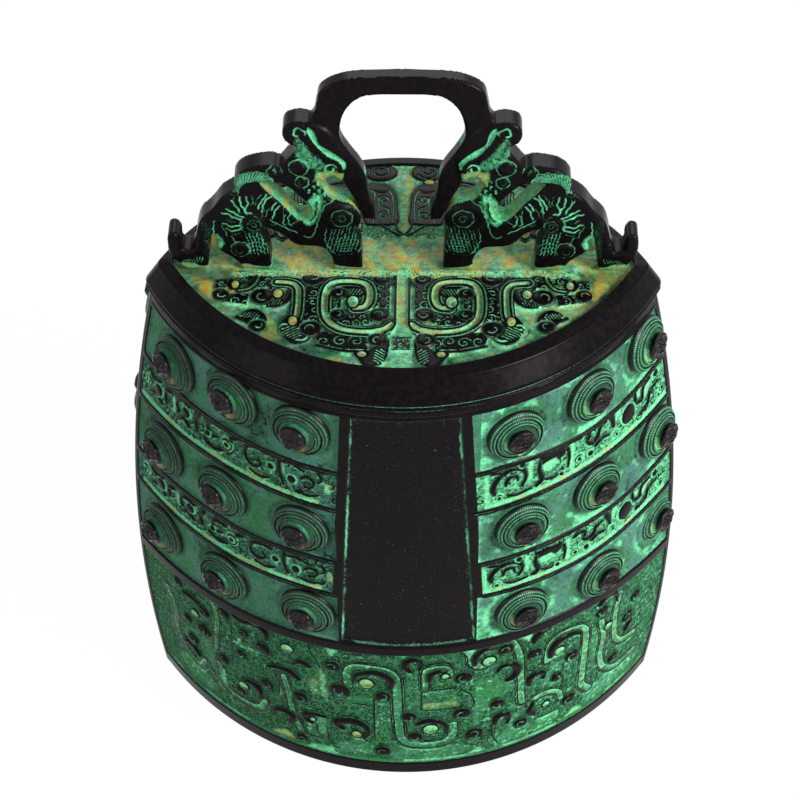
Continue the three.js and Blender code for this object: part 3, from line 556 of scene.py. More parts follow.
SKIRT_LINES = [
    [(-11.6, 48), (-11.8, 36), (-11.6, 21)], [(7.6, 69), (7.4, 56), (7.6, 41)],
    [(22, 54), (8, 53.8)], [(8, 41), (22, 41)], [(23, 53), (27.4, 48), (29, 43), (28.6, 39)],
    [(-31.6, 24), (-31, 17), (-29.4, 13), (-26.4, 10.6)],
    [(-42.4, 24), (-41.6, 19), (-38.6, 15.8), (-33.6, 15.4)],
    [(-35.8, 24), (-36, 20), (-34.4, 17)], [(69, 49), (69.4, 40), (69, 28)],
    [(-74.4, 72), (-74.6, 56), (-75.4, 40)], [(51.4, 70), (53.4, 64.6), (52, 60)],
    [(-38, 77), (-37.6, 71), (-35, 66.6), (-33.6, 62)], [(-54.6, 50), (-52.4, 44), (-52.8, 36)],
    [(58.4, 22), (59, 18), (68, 17.6)], [(37, 24), (37.4, 17), (40, 10)],
    [(-40, 34.6), (-34, 34.8)], [(-31, 35), (-24, 34.6), (-20, 36)], [(-21, 43.6), (-13, 43.4)],
    [(-24, 74.6), (-18, 75.4), (-13.6, 74)], [(10, 70.8), (17, 71.4), (20.4, 68)],
    [(52, 54), (55, 52), (60, 51.6)],
]
SKIRT_CURLS = [
    (3.4, [(9, 47), (21, 47), (20, 53), (9, 53)]),
    (3.6, [(-11, 19), (-5, 19), (-5, 46), (-11, 46)]),
    (3.4, [(1.6, 42), (6.6, 42), (6.6, 66), (1.6, 66)]),
]
# Forms in the bands: outwards from the panel, and up from the lower ridge
RIGHT_ROLLS = [
    (1.9, [(35.4, 4.4), (34.4, 8), (36, 12), (39.4, 14.4), (43, 14.8), (46.4, 12.6), (47.6, 9),
        (46, 5.4)]),
    (1.3, [(39.4, 8), (40.4, 11), (43.4, 11.2), (44.4, 8.6)]),
    (1.3, [(33.6, 15.6), (36.6, 15.4), (38, 13)]),
    (1.8, [(52, 2.6), (54.4, 4.4), (53.2, 9), (53.4, 13)]),
    (1.5, [(70, 14.4), (73, 15.4), (76, 13.4), (74.6, 10.6)]),
    (1.5, [(74.6, 10.6), (77, 8.4), (80, 9.8), (81.4, 13.2), (84.6, 13.8)]),
    (1.5, [(79, 6), (82, 7.6), (86, 6.6)]), (2.2, [(86.4, 15.6), (88, 12), (88.6, 8.6)]),
    (1.3, [(65.4, 13.6), (66.4, 9), (65.8, 4)]), (1.2, [(56, 3.6), (60, 2.8), (64, 4.4)]),
    (1.2, [(41, 3), (44, 2), (50, 2.6)]),
    (1.4, [(101, 15.4), (101.6, 10.4), (105.4, 9.4), (106.4, 14), (111, 15)]),
    (1.3, [(103.4, 3.4), (109, 4.4), (111, 8.8), (116.6, 9.8)]),
]
RIGHT_AREAS = [
    (1, 0, 0, [(52.6, 10.6), (53, 15.4), (57, 16.2), (64.4, 15.8), (64.6, 11.6), (61.4, 9.6),
        (60.4, 12), (55.6, 11.8)]),
    (0, 1, 0.1, [(54.6, 10.4), (57, 11.6), (60.4, 11.2), (61.4, 8.6), (58, 6.8), (55.4, 7.4)]),
    (0, 1, 0.1, [(48.8, 6), (50.4, 6), (50.4, 15.6), (48.8, 15.6)]),
    (0, 1, 0.1, [(67, 2), (69, 2), (68.6, 15), (66.8, 15)]),
    (0, 1, 0, [(31.4, 1), (33.4, 1), (32.6, 15), (31, 15)]),
    (0, 1, 0.4, [(89.6, 15), (93, 15.8), (92, 12), (90, 8.6)]),
    (0, 0.9, 0.9, [(102.4, 14.6), (102.8, 11.4), (104.8, 11), (104.8, 14.8)]),
    (0, 0.9, 0.9, [(107, 9), (108, 12.6), (113, 13), (109, 8)]),
]
RIGHT_ROUNDS = [
    (36.8, 3.2, 1.7, 1.7, 1), (71, 5, 2.1, 2.1, 1), (97, 8.6, 3.8, 4.6, 0),
    (46, 15.4, 1.3, 1.3, 0), (63, 2.6, 1, 1, 0), (76.6, 4.2, 1.3, 1.3, 0), (90, 4.4, 1.6, 1.6, 1),
    (115, 14, 1.6, 1.6, 0), (119, 5, 1.8, 1.8, 1),
]
LEFT_ROLLS = [
    (1.5, [(46.6, 15.4), (47, 9.6), (45.2, 3.4)]), (1.3, [(45.4, 14.4), (41.6, 15), (36.6, 13.4)]),
    (1.2, [(40, 3), (35.6, 2.2), (31, 4)]),
    (1.2, [(38.4, 9), (35.6, 11.2), (33, 9.4), (34.2, 6.4), (37, 6)]),
    (1.1, [(31.2, 14.6), (29.8, 11.6), (31.4, 9.4)]),
    (1.4, [(52, 14.6), (56.4, 15.6), (61, 13.2), (61.4, 8.4), (58, 6), (54.8, 8), (56, 10.6)]),
    (1.2, [(51, 4), (55, 2.6), (60, 3.4)]),
    (1.7, [(65, 14.6), (68.4, 12.4), (67.6, 8), (70.4, 4.4)]),
    (1.6, [(73, 14.8), (77, 15.2), (80, 12.4), (78, 9), (75, 9.6)]),
    (1.6, [(72.6, 5), (77, 3.4), (82, 5.4)]), (2, [(84, 15), (86.4, 11), (85.6, 6)]),
    (1.6, [(89.4, 14.4), (94, 15), (97.4, 12), (96, 8.4)]),
    (1.5, [(90, 5), (93.4, 7), (97.4, 4.4)]), (1.6, [(101, 14), (104.6, 12), (104, 7)]),
    (1.5, [(108, 14), (112, 12.4), (116, 14.4)]), (1.4, [(107, 4.6), (111, 6.8), (116, 5)]),
]
LEFT_AREAS = [
    (0, 1, 0.1, [(44.8, 8), (46.2, 8), (46.4, 16), (44.8, 16)]),
    (0, 0.9, 0.7, [(26.6, 5), (29, 5), (29, 10), (26.6, 10)]),
    (0, 0.8, 0.9, [(52, 2), (62, 2), (60.6, 3.6), (53, 3.6)]),
    (0, 0.9, 0.2, [(49.6, 6), (51.4, 5), (51, 12), (49.8, 12)]),
    (0, 0.9, 0.3, [(70, 13), (72.4, 12), (71.4, 7), (69.8, 8)]),
    (0, 0.9, 0.1, [(98.6, 13), (100.4, 12), (100, 6), (98.8, 6)]),
]
LEFT_ROUNDS = [
    (42, 7.4, 1.7, 2.1, 0), (70.4, 9, 2.6, 3, 1), (50.6, 9.6, 1.4, 1.6, 0),
    (92, 10.6, 2.2, 2.4, 0), (80, 8.6, 1.4, 1.4, 0), (109.6, 9.4, 2.6, 2.8, 0),
    (120, 9, 2.2, 2.4, 1),
]


def level(line, u):
    """Height of a ridge's line at each place along the face."""
    return np.interp(u, *zip(*line))


def paint_ground(c, grid_u, grid_v, swing, skirt):
    """Ground of curls on the skirt, and of tighter curls and scrolls on the two bands."""

    def ground(mask, cuts, depth, bare):
        c.height += mask * (depth * (1 - cuts))
        c.bare += mask * (bare * (1 - cuts) - c.bare)
        c.bright += mask * (0.3 - c.bright)
        c.deep += mask * (0.95 * cuts + 0.15)

    curls = curl_field(grid_u * 0.98 + grid_v * 0.2 + swing, grid_v * 0.98 - grid_u * 0.2 + swing,
                       3.8, 1.35, 0.72)
    ground(skirt, curls, 0.3, 0.12)
    tight = curl_field(grid_u, grid_v, 2.8, 1.1, 0.6)
    share = soft((clouds(c, 5, 11) - 0.3) / 0.3)
    for low, high in ((UPPER_BOTTOM, UPPER_TOP), (LOWER_BOTTOM, LOWER_TOP)):
        low_z, high_z = level(low, c.u), level(high, c.u)
        band = soft((high_z - 1.5 - grid_v) / 0.5) * soft((grid_v - low_z - 1.5) / 0.5)
        ground(band, tight, 0.25, 0)
        # Painted light: the bands are painted brighter towards the right
        c.bright += band * (0.08 + 0.36 * soft(grid_u / 30 + 0.5))
        scrolls = band * share * curl_field(
            grid_u + swing, grid_v - low_z + 0.4 * swing, 5.6, 1.25, 0.8)
        c.height += 0.55 * scrolls
        c.bare += scrolls * (0.95 - c.bare)
        c.deep *= 1 - scrolls


def paint_skirt(c):
    for bright, outline in SKIRT_SMOOTH:
        path = smooth_path(outline, closed=True)
        c.area(path, 0.9, height=0.1, bare=0, deep=0, bright=bright)
    for pitch, outline in SKIRT_CURLS:
        c.curls(outline, pitch, 1.2, 0.35, 0.45, bare=0, line=0.6, dark=1)
    for points in SKIRT_LINES:
        c.stroke(smooth_path(points), 0.7, 0.25, 0.4, height=0.5, bare=0.95, deep=0)
    for width, ochre, points in SKIRT_TRACKS:
        c.band(smooth_path(points), width, ochre * 0.45)
    for bright, ochre, outline in SKIRT_PATCHES:
        c.area(np.array(outline, float), 0.5,
               height=0.15, bare=0, bright=bright, deep=0, ochre=ochre)
    for width, hook in SKIRT_HOOKS:
        c.roll(smooth_path(hook), width)
    for k, (x, z, r) in enumerate(SKIRT_DISCS):
        c.disc((x, z), r, 1 if k % 2 else -1, 100 + 40 * (k % 5), 1.3)
        # Painted shading: the lower side of each round lighter and greener
        c.paint_lower_shading((x, z), r * 0.95)
    for x, z, r, ochre in SKIRT_KNOBS:
        c.knob((x, z), r, r, ochre, 0.85)


def paint_bands(c):
    """Forms in the bands, laid outwards from the panel and up from the lower ridge."""
    for low, height in ((UPPER_BOTTOM, 21.4), (LOWER_BOTTOM, 18.3)):
        scale = (height - 3) / 16.5
        for sign, rolls, areas, rounds in ((1, RIGHT_ROLLS, RIGHT_AREAS, RIGHT_ROUNDS),
                                           (-1, LEFT_ROLLS, LEFT_AREAS, LEFT_ROUNDS)):

            def place(points):
                u, v = np.array(points, float).T
                return np.stack([sign * u, level(low, sign * u) + 1.7 + v * scale], -1)

            line = smooth_path(place([(x, 0.2) for x in range(32, 126, 6)]))
            c.stroke(line, 1.7, 0.5, height=0.1, bare=0, bright=1, ochre=0.45, deep=0)
            for bare, bright, ochre, points in areas:
                c.area(place(points), 0.4,
                       height=0.2 + 0.8 * bare, bare=bare, bright=bright, ochre=ochre, deep=0)
            for width, points in rolls:
                c.roll(smooth_path(place(points)), width * 1.2, 0.9, 0.5)
            for x, v, rx, ry, ringed in rounds:
                centre = place([(x, v)])[0]
                c.dome(centre, rx + 0.7, ry + 0.7, 0.1, bare=0, bright=0.9)
                c.dome(centre, rx, ry, 0.7, 0.5, bare=1)
                if ringed:
                    c.stroke(circle(centre, rx * 0.62), min(0.9, rx * 0.35),
                             height=0.5, bare=0, bright=0.9)


def paint_panel(c):
    """The framed panel: plain and dark, with broken bright lines beside its frame."""
    for outer, inward in ((FRAME_LEFT, 2.0), (FRAME_RIGHT, -2.0)):
        middle = smooth_path(outer, 4) + np.array([inward, 0])
        c.stroke(middle, 4.0, 0.5, height=1.2, bright=0, **DARK)
    left = smooth_path(FRAME_LEFT, 4) + np.array([4.1, 0])
    right = smooth_path(FRAME_RIGHT, 4) + np.array([-4.1, 0])
    c.area(np.vstack([left, right[::-1]]), height=0, bare=0.75, deep=0, ochre=0, bright=0)
    for outer, lines in ((FRAME_LEFT, PANEL_LINES_LEFT), (FRAME_RIGHT, PANEL_LINES_RIGHT)):
        for low, high, inward in lines:
            z = np.arange(low, high, 2.0)
            x = np.interp(z, *zip(*[(z, x) for x, z in outer])) + inward + 0.15 * np.sin(z)
            c.stroke(np.stack([x, z], -1), 0.75, 0.35, 2.5, height=-0.1, bare=0.15, bright=0.8)
    bottom = smooth_path([(-20, 83.6), (5, 83.2), (26, 83.6)], 1.5)
    c.stroke(bottom, 0.6, 0.3, 3, height=0.2, bare=0.4, bright=0.4)


def paint_fields(c, grid_u, grid_v):
    """The smooth fields with the bosses, brighter round their margins, and with painted light that
    makes them lighter on the right and darker on the left.
    """
    # Painted light: right grows towards the right, where the fields are painted lighter and less
    # dark
    right = soft(grid_u / 30 + 0.5)
    large, small = clouds(c, 15, 3), 0.6 * clouds(c, 4.5, 5) + 0.4 * clouds(c, 1.8, 6)
    patch = 0.62 * large + 0.38 * small
    chips = soft((clouds(c, 1.3, 8) - 0.74) / 0.12) * soft((0.5 - patch) / 0.2 + 0.3)
    side = np.where(grid_u > 0, grid_u - 29, -25 - grid_u)
    places = [place for hands in BOSS_PLACES.values() for hand in hands.values() for place in hand]
    for low, high in FIELDS:
        margin = np.minimum(grid_v - level(low, c.u), level(high, c.u) - grid_v)
        margin = np.minimum(margin, side)
        here = soft(margin / 0.5)
        c.cover(here, height=0, bare=0, ochre=0, bright=-0.35 + 0.62 * patch + 0.2 * right,
                deep=np.clip(2.4 * (0.42 - patch), 0, 0.7) * (1 - 0.45 * right))
        fringe = here * np.exp(-np.maximum(margin, 0) / 2.6)
        c.bright += fringe * (0.35 + 0.4 * right) * (0.35 + small)
        c.deep += here * chips * 0.6 * (1 - 0.5 * right)
        for place_u, place_z in places:
            distance = np.hypot(grid_u - place_u, grid_v - place_z)
            close = here * np.exp(-((distance - 14.2) / 1.8) ** 2)
            c.bright += close * (0.1 + 0.4 * right) * soft((small - 0.3) / 0.4)
            c.deep += here * np.exp(-((distance - 12.8) / 0.9) ** 2) * (0.25 + 0.3 * small)
        c.deep = np.clip(c.deep, 0, 1)


def paint_ridges(c, grid_u, grid_v):
    """Ridges between the zones, the plain rim at the mouth and the bands below the crown."""
    for line in (UPPER_TOP, UPPER_BOTTOM, LOWER_TOP, LOWER_BOTTOM):
        path = smooth_path(line, 3)
        for hand, frame_line in ((-1, FRAME_LEFT), (1, FRAME_RIGHT)):
            frame_u = np.interp(path[:, 1], *zip(*[(z, x) for x, z in frame_line]))
            keep = path[path[:, 0] * hand > frame_u * hand - 1.5]
            c.stroke(keep, 2.6, 0.5, height=1.3, **DARK)
            c.stroke(keep, 0.5, 0.3, height=1.05, bare=0.35)
    c.stroke(smooth_path(SKIRT_TOP, 5), 5.6, 1.2, height=1.7, **DARK)
    c.cover(soft((6.6 - grid_v) / 0.7), height=0.9, bright=0, **DARK)
    broken = soft(0.5 + 0.8 * np.sin(grid_u / 7.3) + 0.6 * np.sin(grid_u / 3.1))
    c.cover(soft((0.8 - np.abs(grid_v - 7.2)) / 0.4) * broken, height=0, bare=0, bright=1, deep=0)
    c.cover(soft((grid_v - 210.2) / 0.6), height=1.1, bright=0, **DARK)
    c.cover(soft((0.4 - np.abs(grid_v - 212.6)) / 0.3), height=0.5)
    broken = soft(0.55 + 0.7 * np.sin(grid_u / 11 + 1) + 0.5 * np.sin(grid_u / 3.7))
    c.cover(broken * soft((0.8 - np.abs(grid_v - 216.3)) / 0.4), height=0.2, bare=0, bright=0.8)


def paint_face():
    c = Canvas(-130, 130, 0, BODY_HEIGHT, 0.3)
    grid_u, grid_v = np.meshgrid(c.u, c.v)
    swing = 1.6 * np.sin(grid_u / 9) + 1.2 * np.sin(grid_v / 7 + grid_u / 13)
    skirt = soft((SKIRT_LEVEL - 2 - grid_v) / 0.6) * soft((grid_v - 7.5) / 0.6)
    above_skirt = soft((grid_v - 105) / 2)
    paint_ground(c, grid_u, grid_v, swing, skirt)
    paint_skirt(c)
    # Finer mottling of the whole skirt
    light, dim = clouds(c, 0.9, 21), clouds(c, 2.4, 22)
    c.bright += skirt * 0.55 * (soft((light - 0.55) / 0.3) - 0.3) * (0.3 + clouds(c, 9, 23))
    c.deep += skirt * 0.3 * soft((dim - 0.6) / 0.3) * (1 - c.bare)
    c.height += skirt * 0.12 * (dim - 0.5)
    # Painted light: the skirt is painted lighter towards the right and darker on the left
    c.bright += skirt * (0.18 * soft((grid_u - 15) / 60) - 0.09)
    paint_bands(c)
    c.ochre *= 1 - above_skirt * (0.75 - soft((clouds(c, 6, 12) - 0.45) / 0.25))
    # Painted highlight just below what stands out, and painted shade above it
    ornament = above_skirt + soft((SKIRT_LEVEL - 3 - grid_v) / 0.6) * soft((grid_v - 8) / 0.6)
    above = blurred(np.roll(c.bare, -4, 0), 1.6)
    below = blurred(np.roll(c.bare, 4, 0), 1.6)
    c.bright += ornament * 0.8 * np.clip(above - 1.2 * c.bare, 0, 1)
    painted_shade = ornament * 0.5 * np.clip(below - 1.3 * c.bare, 0, 1) * (1 - c.bare)
    c.deep = np.clip(c.deep + painted_shade, 0, 1)
    paint_panel(c)
    paint_fields(c, grid_u, grid_v)
    paint_ridges(c, grid_u, grid_v)
    return c


face = paint_face()


# ---------------------------------------------------------------- meshes


def build_mesh(name, points, faces, uvs, values, material, normals=None):
    """A mesh from arrays of quads or triangles in mm, with a flat map and point attributes."""
    mesh = bpy.data.meshes.new(name)
    mesh.vertices.add(len(points))
    mesh.vertices.foreach_set("co", (np.asarray(points, float) * MM).astype(np.float32).ravel())
    corners = np.concatenate([np.asarray(part, np.int32).ravel() for part in faces])
    sizes = np.concatenate([np.full(len(part), np.shape(part)[1]) for part in faces])
    starts = np.concatenate([[0], np.cumsum(sizes)[:-1]]).astype(np.int32)
    mesh.loops.add(len(corners))
    mesh.loops.foreach_set("vertex_index", corners)
    mesh.polygons.add(len(starts))
    mesh.polygons.foreach_set("loop_start", starts)
    mesh.update(calc_edges=True)
    mesh.polygons.foreach_set("use_smooth", np.ones(len(mesh.polygons), bool))
    layer = mesh.uv_layers.new(name="OFBake")
    layer.data.foreach_set("uv", np.concatenate([np.asarray(u, np.float32).ravel() for u in uvs]))
    for key, value in values.items():
        attribute = mesh.attributes.new(key, "FLOAT", "POINT")
        attribute.data.foreach_set("value", np.asarray(value, np.float32).ravel())
    mesh.materials.append(material)
    mesh.validate()
    if normals is not None:
        mesh.normals_split_custom_set_from_vertices(normals)
    piece = bpy.data.objects.new(name, mesh)
    bpy.context.scene.collection.objects.link(piece)
    return piece


def disc_mesh(name, rows, bottom, top, values, material, run=None):
    """A closed mesh of rings stacked from a middle point below to a middle point above."""
    count, columns = rows.shape[:2]
    points = np.concatenate([rows.reshape(-1, 3), [bottom, top]])
    low, high = count * columns, count * columns + 1
    i = np.arange(columns)
    k = (i + 1) % columns
    last = (count - 1) * columns
    fans = np.concatenate([
        np.stack([np.full(columns, low), k, i], -1),
        np.stack([last + i, last + k, np.full(columns, high)], -1)])
    run = np.linspace(0.02, 0.98, count) if run is None else run
    left, right = i / columns, (i + 1) / columns
    middle = (left + right) / 2
    first, end = np.full(columns, run[0]), np.full(columns, run[-1])
    fan_uv = np.concatenate([
        np.stack([middle, first * 0, right, first, left, first], -1),
        np.stack([left, end, right, end, middle, end * 0 + 1], -1)])
    flat = {key: np.concatenate([value.ravel(), [value[0].mean(), value[-1].mean()]])
            for key, value in values.items()}
    return build_mesh(name, points, [ring_quads(count, columns, False), fans],
                      [ring_uv(count, columns, False, run), fan_uv], flat, material)


def ring_quads(rows, columns, wrap_rows):
    j = np.arange(rows if wrap_rows else rows - 1)[:, None]
    i = np.arange(columns)[None, :]
    k = (i + 1) % columns
    m = (j + 1) % rows
    return np.stack(np.broadcast_arrays(
        j * columns + i, j * columns + k, m * columns + k, m * columns + i), -1).reshape(-1, 4)


def ring_uv(rows, columns, wrap_rows, run):
    """Places on the flat map for each corner of ring_quads; run is how high each row lies."""
    count = rows if wrap_rows else rows - 1
    run = np.asarray(run, float)
    low, high = run[:count, None], run[1:count + 1, None]
    left = np.arange(columns)[None, :] / columns
    right = left + 1 / columns
    corners = [np.stack(np.broadcast_arrays(a, b), -1) for a, b in
               ((left, low), (right, low), (right, high), (left, high))]
    return np.stack(corners, 2).reshape(-1, 2)


# ---------------------------------------------------------------- materials


class Nodes:
    def __init__(self, material):
        material.use_nodes = True
        self.tree = material.node_tree
        self.tree.nodes.clear()

    def add(self, kind, **settings):
        node = self.tree.nodes.new(kind)
        for key, value in settings.items():
            setattr(node, key, value)
        return node

    def link(self, source, target):
        self.tree.links.new(source, target)

    def put(self, value, socket):
        """A constant or another node's output on a socket."""
        if isinstance(value, (int, float, tuple)):
            socket.default_value = value
        else:
            self.link(value, socket)

    def attribute(self, name):
        return self.add("ShaderNodeAttribute", attribute_name=name).outputs["Fac"]

    def noise(self, scale, detail, rough):
        node = self.add("ShaderNodeTexNoise")
        node.inputs["Scale"].default_value = scale
        node.inputs["Detail"].default_value = detail
        node.inputs["Roughness"].default_value = rough
        self.link(self.add("ShaderNodeTexCoord").outputs["Object"], node.inputs["Vector"])
        return node.outputs["Fac"]

    def math(self, operation, *values, clamp=False):
        node = self.add("ShaderNodeMath", operation=operation, use_clamp=clamp)
        for value, socket in zip(values, node.inputs):
            self.put(value, socket)
        return node.outputs[0]

    def plus(self, a, b, clamp=False):
        return self.math("ADD", a, b, clamp=clamp)

    def minus(self, a, b):
        return self.math("SUBTRACT", a, b)

    def times(self, a, b):
        return self.math("MULTIPLY", a, b)

    def ramp(self, value, low, high):
        node = self.add("ShaderNodeMapRange", interpolation_type="SMOOTHSTEP")
        node.inputs["From Min"].default_value = low
        node.inputs["From Max"].default_value = high
        self.link(value, node.inputs["Value"])
        return node.outputs["Result"]

    def blend(self, factor, a, b):
        node = self.add("ShaderNodeMix", data_type="RGBA")
        for value, k in ((factor, 0), (a, 6), (b, 7)):
            self.put(value, node.inputs[k])
        return node.outputs[2]


def colour(code):
    parts = [int(code[k:k + 2], 16) / 255 for k in (0, 2, 4)]
    linear = [p / 12.92 if p <= 0.04045 else ((p + 0.055) / 1.055) ** 2.4 for p in parts]
    return tuple(linear) + (1.0,)


DEEP_PATINA_AND_SHADE, PALE_PATINA, SKIRT_GREEN = colour("0b2718"), colour("b4efcd"), colour("2e7a41")
OCHRE, OLIVE, WORN_EDGE = colour("b0832f"), colour("8fae57"), colour("171215")


def bronze_material(name, smooth, mid, bright, dark="0e0b0d", gloss=0.06, greener_below=None):
    """Dark worn metal on what stands out, and patina in the hollows.

    smooth, mid and bright are the patina's colours, and below a height in metres it is greener.
    """
    material = bpy.data.materials.new(name)
    n = Nodes(material)
    cloud = n.noise(70, 5, 0.62)
    grain = n.noise(420, 4, 0.7)
    speckle = n.noise(1500, 3, 0.7)
    # Patina, from dull blue green on the smooth fields to bright green beside edges, and painted
    # light where the bright attribute holds it
    patina = n.blend(n.ramp(cloud, 0.35, 0.65), colour(smooth), colour(mid))
    if greener_below:
        place = n.add("ShaderNodeSeparateXYZ")
        n.link(n.add("ShaderNodeTexCoord").outputs["Object"], place.inputs[0])
        above = n.ramp(place.outputs["Z"], greener_below - MM, greener_below + MM)
        patina = n.blend(n.times(n.minus(1, above), 0.6), patina, SKIRT_GREEN)
    lift = n.plus(n.attribute("bright"), n.times(n.minus(grain, 0.5), 1.3))
    patina = n.blend(n.ramp(lift, 0.3, 1.05), patina, colour(bright))
    pale = n.times(n.ramp(speckle, 0.54, 0.7), n.ramp(lift, 0.1, 1))
    patina = n.blend(n.times(pale, 0.7), patina, PALE_PATINA)
    # Dark stains and flecks, the dark patina and painted shade that the deep attribute holds, and
    # ochre ones
    stain = n.times(n.ramp(n.noise(330, 5, 0.7), 0.53, 0.72), 0.6)
    patina = n.blend(n.plus(stain, n.attribute("deep"), clamp=True), patina, DEEP_PATINA_AND_SHADE)
    fleck = n.minus(1, n.ramp(n.noise(950, 4, 0.75), 0.38, 0.54))
    patina = n.blend(n.times(fleck, 0.42), patina, DEEP_PATINA_AND_SHADE)
    tanned = n.times(n.attribute("ochre"), n.ramp(n.noise(160, 4, 0.6), 0.38, 0.55))
    patina = n.blend(tanned, patina, n.blend(n.ramp(grain, 0.4, 0.65), OCHRE, OLIVE))
    # Bare metal shows on what stands out
    metal = n.blend(n.ramp(grain, 0.35, 0.75), colour(dark), WORN_EDGE)
    wear = n.plus(n.attribute("bare"), n.times(n.attribute("cavity"), 0.3))
    wear = n.plus(wear, n.times(n.minus(speckle, 0.5), 0.9))
    wear = n.plus(wear, n.times(n.minus(grain, 0.5), 0.5))
    worn = n.ramp(wear, 0.36, 0.66)
    shader = n.add("ShaderNodeBsdfPrincipled")
    n.link(n.blend(worn, patina, metal), shader.inputs["Base Color"])
    rough = n.plus(n.times(worn, -0.3), n.math("MULTIPLY_ADD", grain, 0.2, 0.48))
    n.link(rough, shader.inputs["Roughness"])
    n.link(n.times(worn, 0.3), shader.inputs["Metallic"])
    shader.inputs["Specular IOR Level"].default_value = gloss
    bumps = n.add("ShaderNodeBump")
    bumps.inputs["Strength"].default_value = 0.25
    bumps.inputs["Distance"].default_value = 0.0003
    uneven = n.times(n.plus(grain, n.times(speckle, 0.5)), n.minus(1.15, worn))
    n.link(uneven, bumps.inputs["Height"])
    n.link(bumps.outputs["Normal"], shader.inputs["Normal"])
    n.link(shader.outputs[0], n.add("ShaderNodeOutputMaterial").inputs["Surface"])
    return material


body_bronze = bronze_material("patinated_body_bronze", "4d7d70", "3b774e", "72de9f",
                              greener_below=SKIRT_LEVEL * MM)
boss_bronze = bronze_material("patinated_boss_bronze", "346151", "226d44", "6dd79a", gloss=0.25)
crown_bronze = bronze_material("patinated_crown_bronze", "5f8576", "348050", "84e6aa", "090709")
handle_bronze = bronze_material("patinated_handle_bronze", "47806a", "267c4a", "66d296")


def settle(piece, slot, *nodes):
    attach(piece, "root")
    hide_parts(*nodes)


# ---------------------------------------------------------------- body

FACE_COLUMNS = 600
CAP_POINTS = 8
CAP_ANGLE = np.linspace(-np.pi / 2, np.pi / 2, CAP_POINTS + 2)[1:-1]
ROW_STEP = 0.42
FINISH = ("bare", "ochre", "bright", "deep")
EDGE_STRIP = {"height": 1, "bare": 1, "ochre": 0, "bright": 0, "deep": 0}
INNER_BARE = 0.7


def end_cap(end, bulge, side):
    """Points round one end of the section, from the last point of a face to the other face."""
    turn = CAP_ANGLE * -side
    return np.stack([end[0] + np.sign(end[0]) * bulge * np.cos(turn),
                     abs(end[1]) * np.sin(turn), np.full(CAP_POINTS, end[2])], -1)


def outer_skin(shares):
    """Rings of the outside from the mouth up, with their relief and finish."""
    rings, layers = [], {name: [] for name in face.layers}
    for z in np.linspace(0, BODY_HEIGHT, int(BODY_HEIGHT / ROW_STEP)):
        s = arcs.lengths_at(shares, z)
        strip = soft((2.1 - abs(s[0]) + np.abs(s)) / 0.5)
        for name, rest in EDGE_STRIP.items():
            value = mix(sample(face, name, s, np.full_like(s, z)), rest, strip)
            if name == "height":
                height = value
            layers[name].append(np.concatenate([value, np.full(CAP_POINTS, rest)] * 2))
        ring = []
        for side in (FRONT, BACK):
            # The back is the front turned about
            point, _, normal = body_frame(shares * -side, z, side)
            points = point + normal * height[:, None]
            points[:, 2] = z
            ring += [points, end_cap(points[-1], 0.45, side)]
        rings.append(np.concatenate(ring))
    return np.array(rings), {name: np.array(value) for name, value in layers.items()}


def inner_skin(shares):
    """Rings of the inside from the neck down to the lip."""
    levels = [(z, 0) for z in np.linspace(BODY_HEIGHT, LIP_HEIGHT + LIP_WIDTH, 14)]
    levels += [(LIP_HEIGHT, LIP_WIDTH), (0, LIP_WIDTH)]
    rings = []
    for z, more in levels:
        half_width, half_depth = body_section(z)
        ring = []
        for side in (FRONT, BACK):
            x, y = section_point(half_width - EDGE_WALL - more, half_depth - FACE_WALL - more,
                                 shares * -side, side)
            points = np.stack([x, y, np.full_like(x, z)], -1)
            ring += [points, end_cap(points[-1], 0.9, side)]
        rings.append(np.concatenate(ring))
    return np.array(rings)


def make_body():
    shares = np.linspace(-EDGE_SHARE, EDGE_SHARE, FACE_COLUMNS)
    outer, layers = outer_skin(shares)
    inner = inner_skin(shares)
    rows, columns = len(outer) + len(inner), outer.shape[1]
    inside = np.zeros((len(inner), columns))
    layers["cavity"] = layers["height"] - blurred(layers["height"], 3.0)
    values = {name: np.concatenate([layers[name], inside]) for name in FINISH + ("cavity",)}
    values["bare"][len(outer):] = INNER_BARE
    run = np.concatenate([np.arange(len(outer)) / len(outer) * 0.96,
                          0.96 + 0.04 * np.arange(len(inner) + 1) / len(inner)])
    piece = build_mesh("bell_body_visual", np.concatenate([outer, inner]).reshape(-1, 3),
                       [ring_quads(rows, columns, True)], [ring_uv(rows, columns, True, run)],
                       values, body_bronze)
    settle(piece, "body_bronze", "bell_body")


make_body()

# ---------------------------------------------------------------- bosses

BOSS_COLUMNS, BOSS_ROWS = 260, 66
BEADS = 74
FOOT_LEVEL, MOAT_LEVEL, KNOB_LEVEL = -0.6, 4.3, 8.0
FARTHEST_OUT = 109.0


def bump(x, middle, width):
    return np.exp(-((x - middle) / width) ** 2)


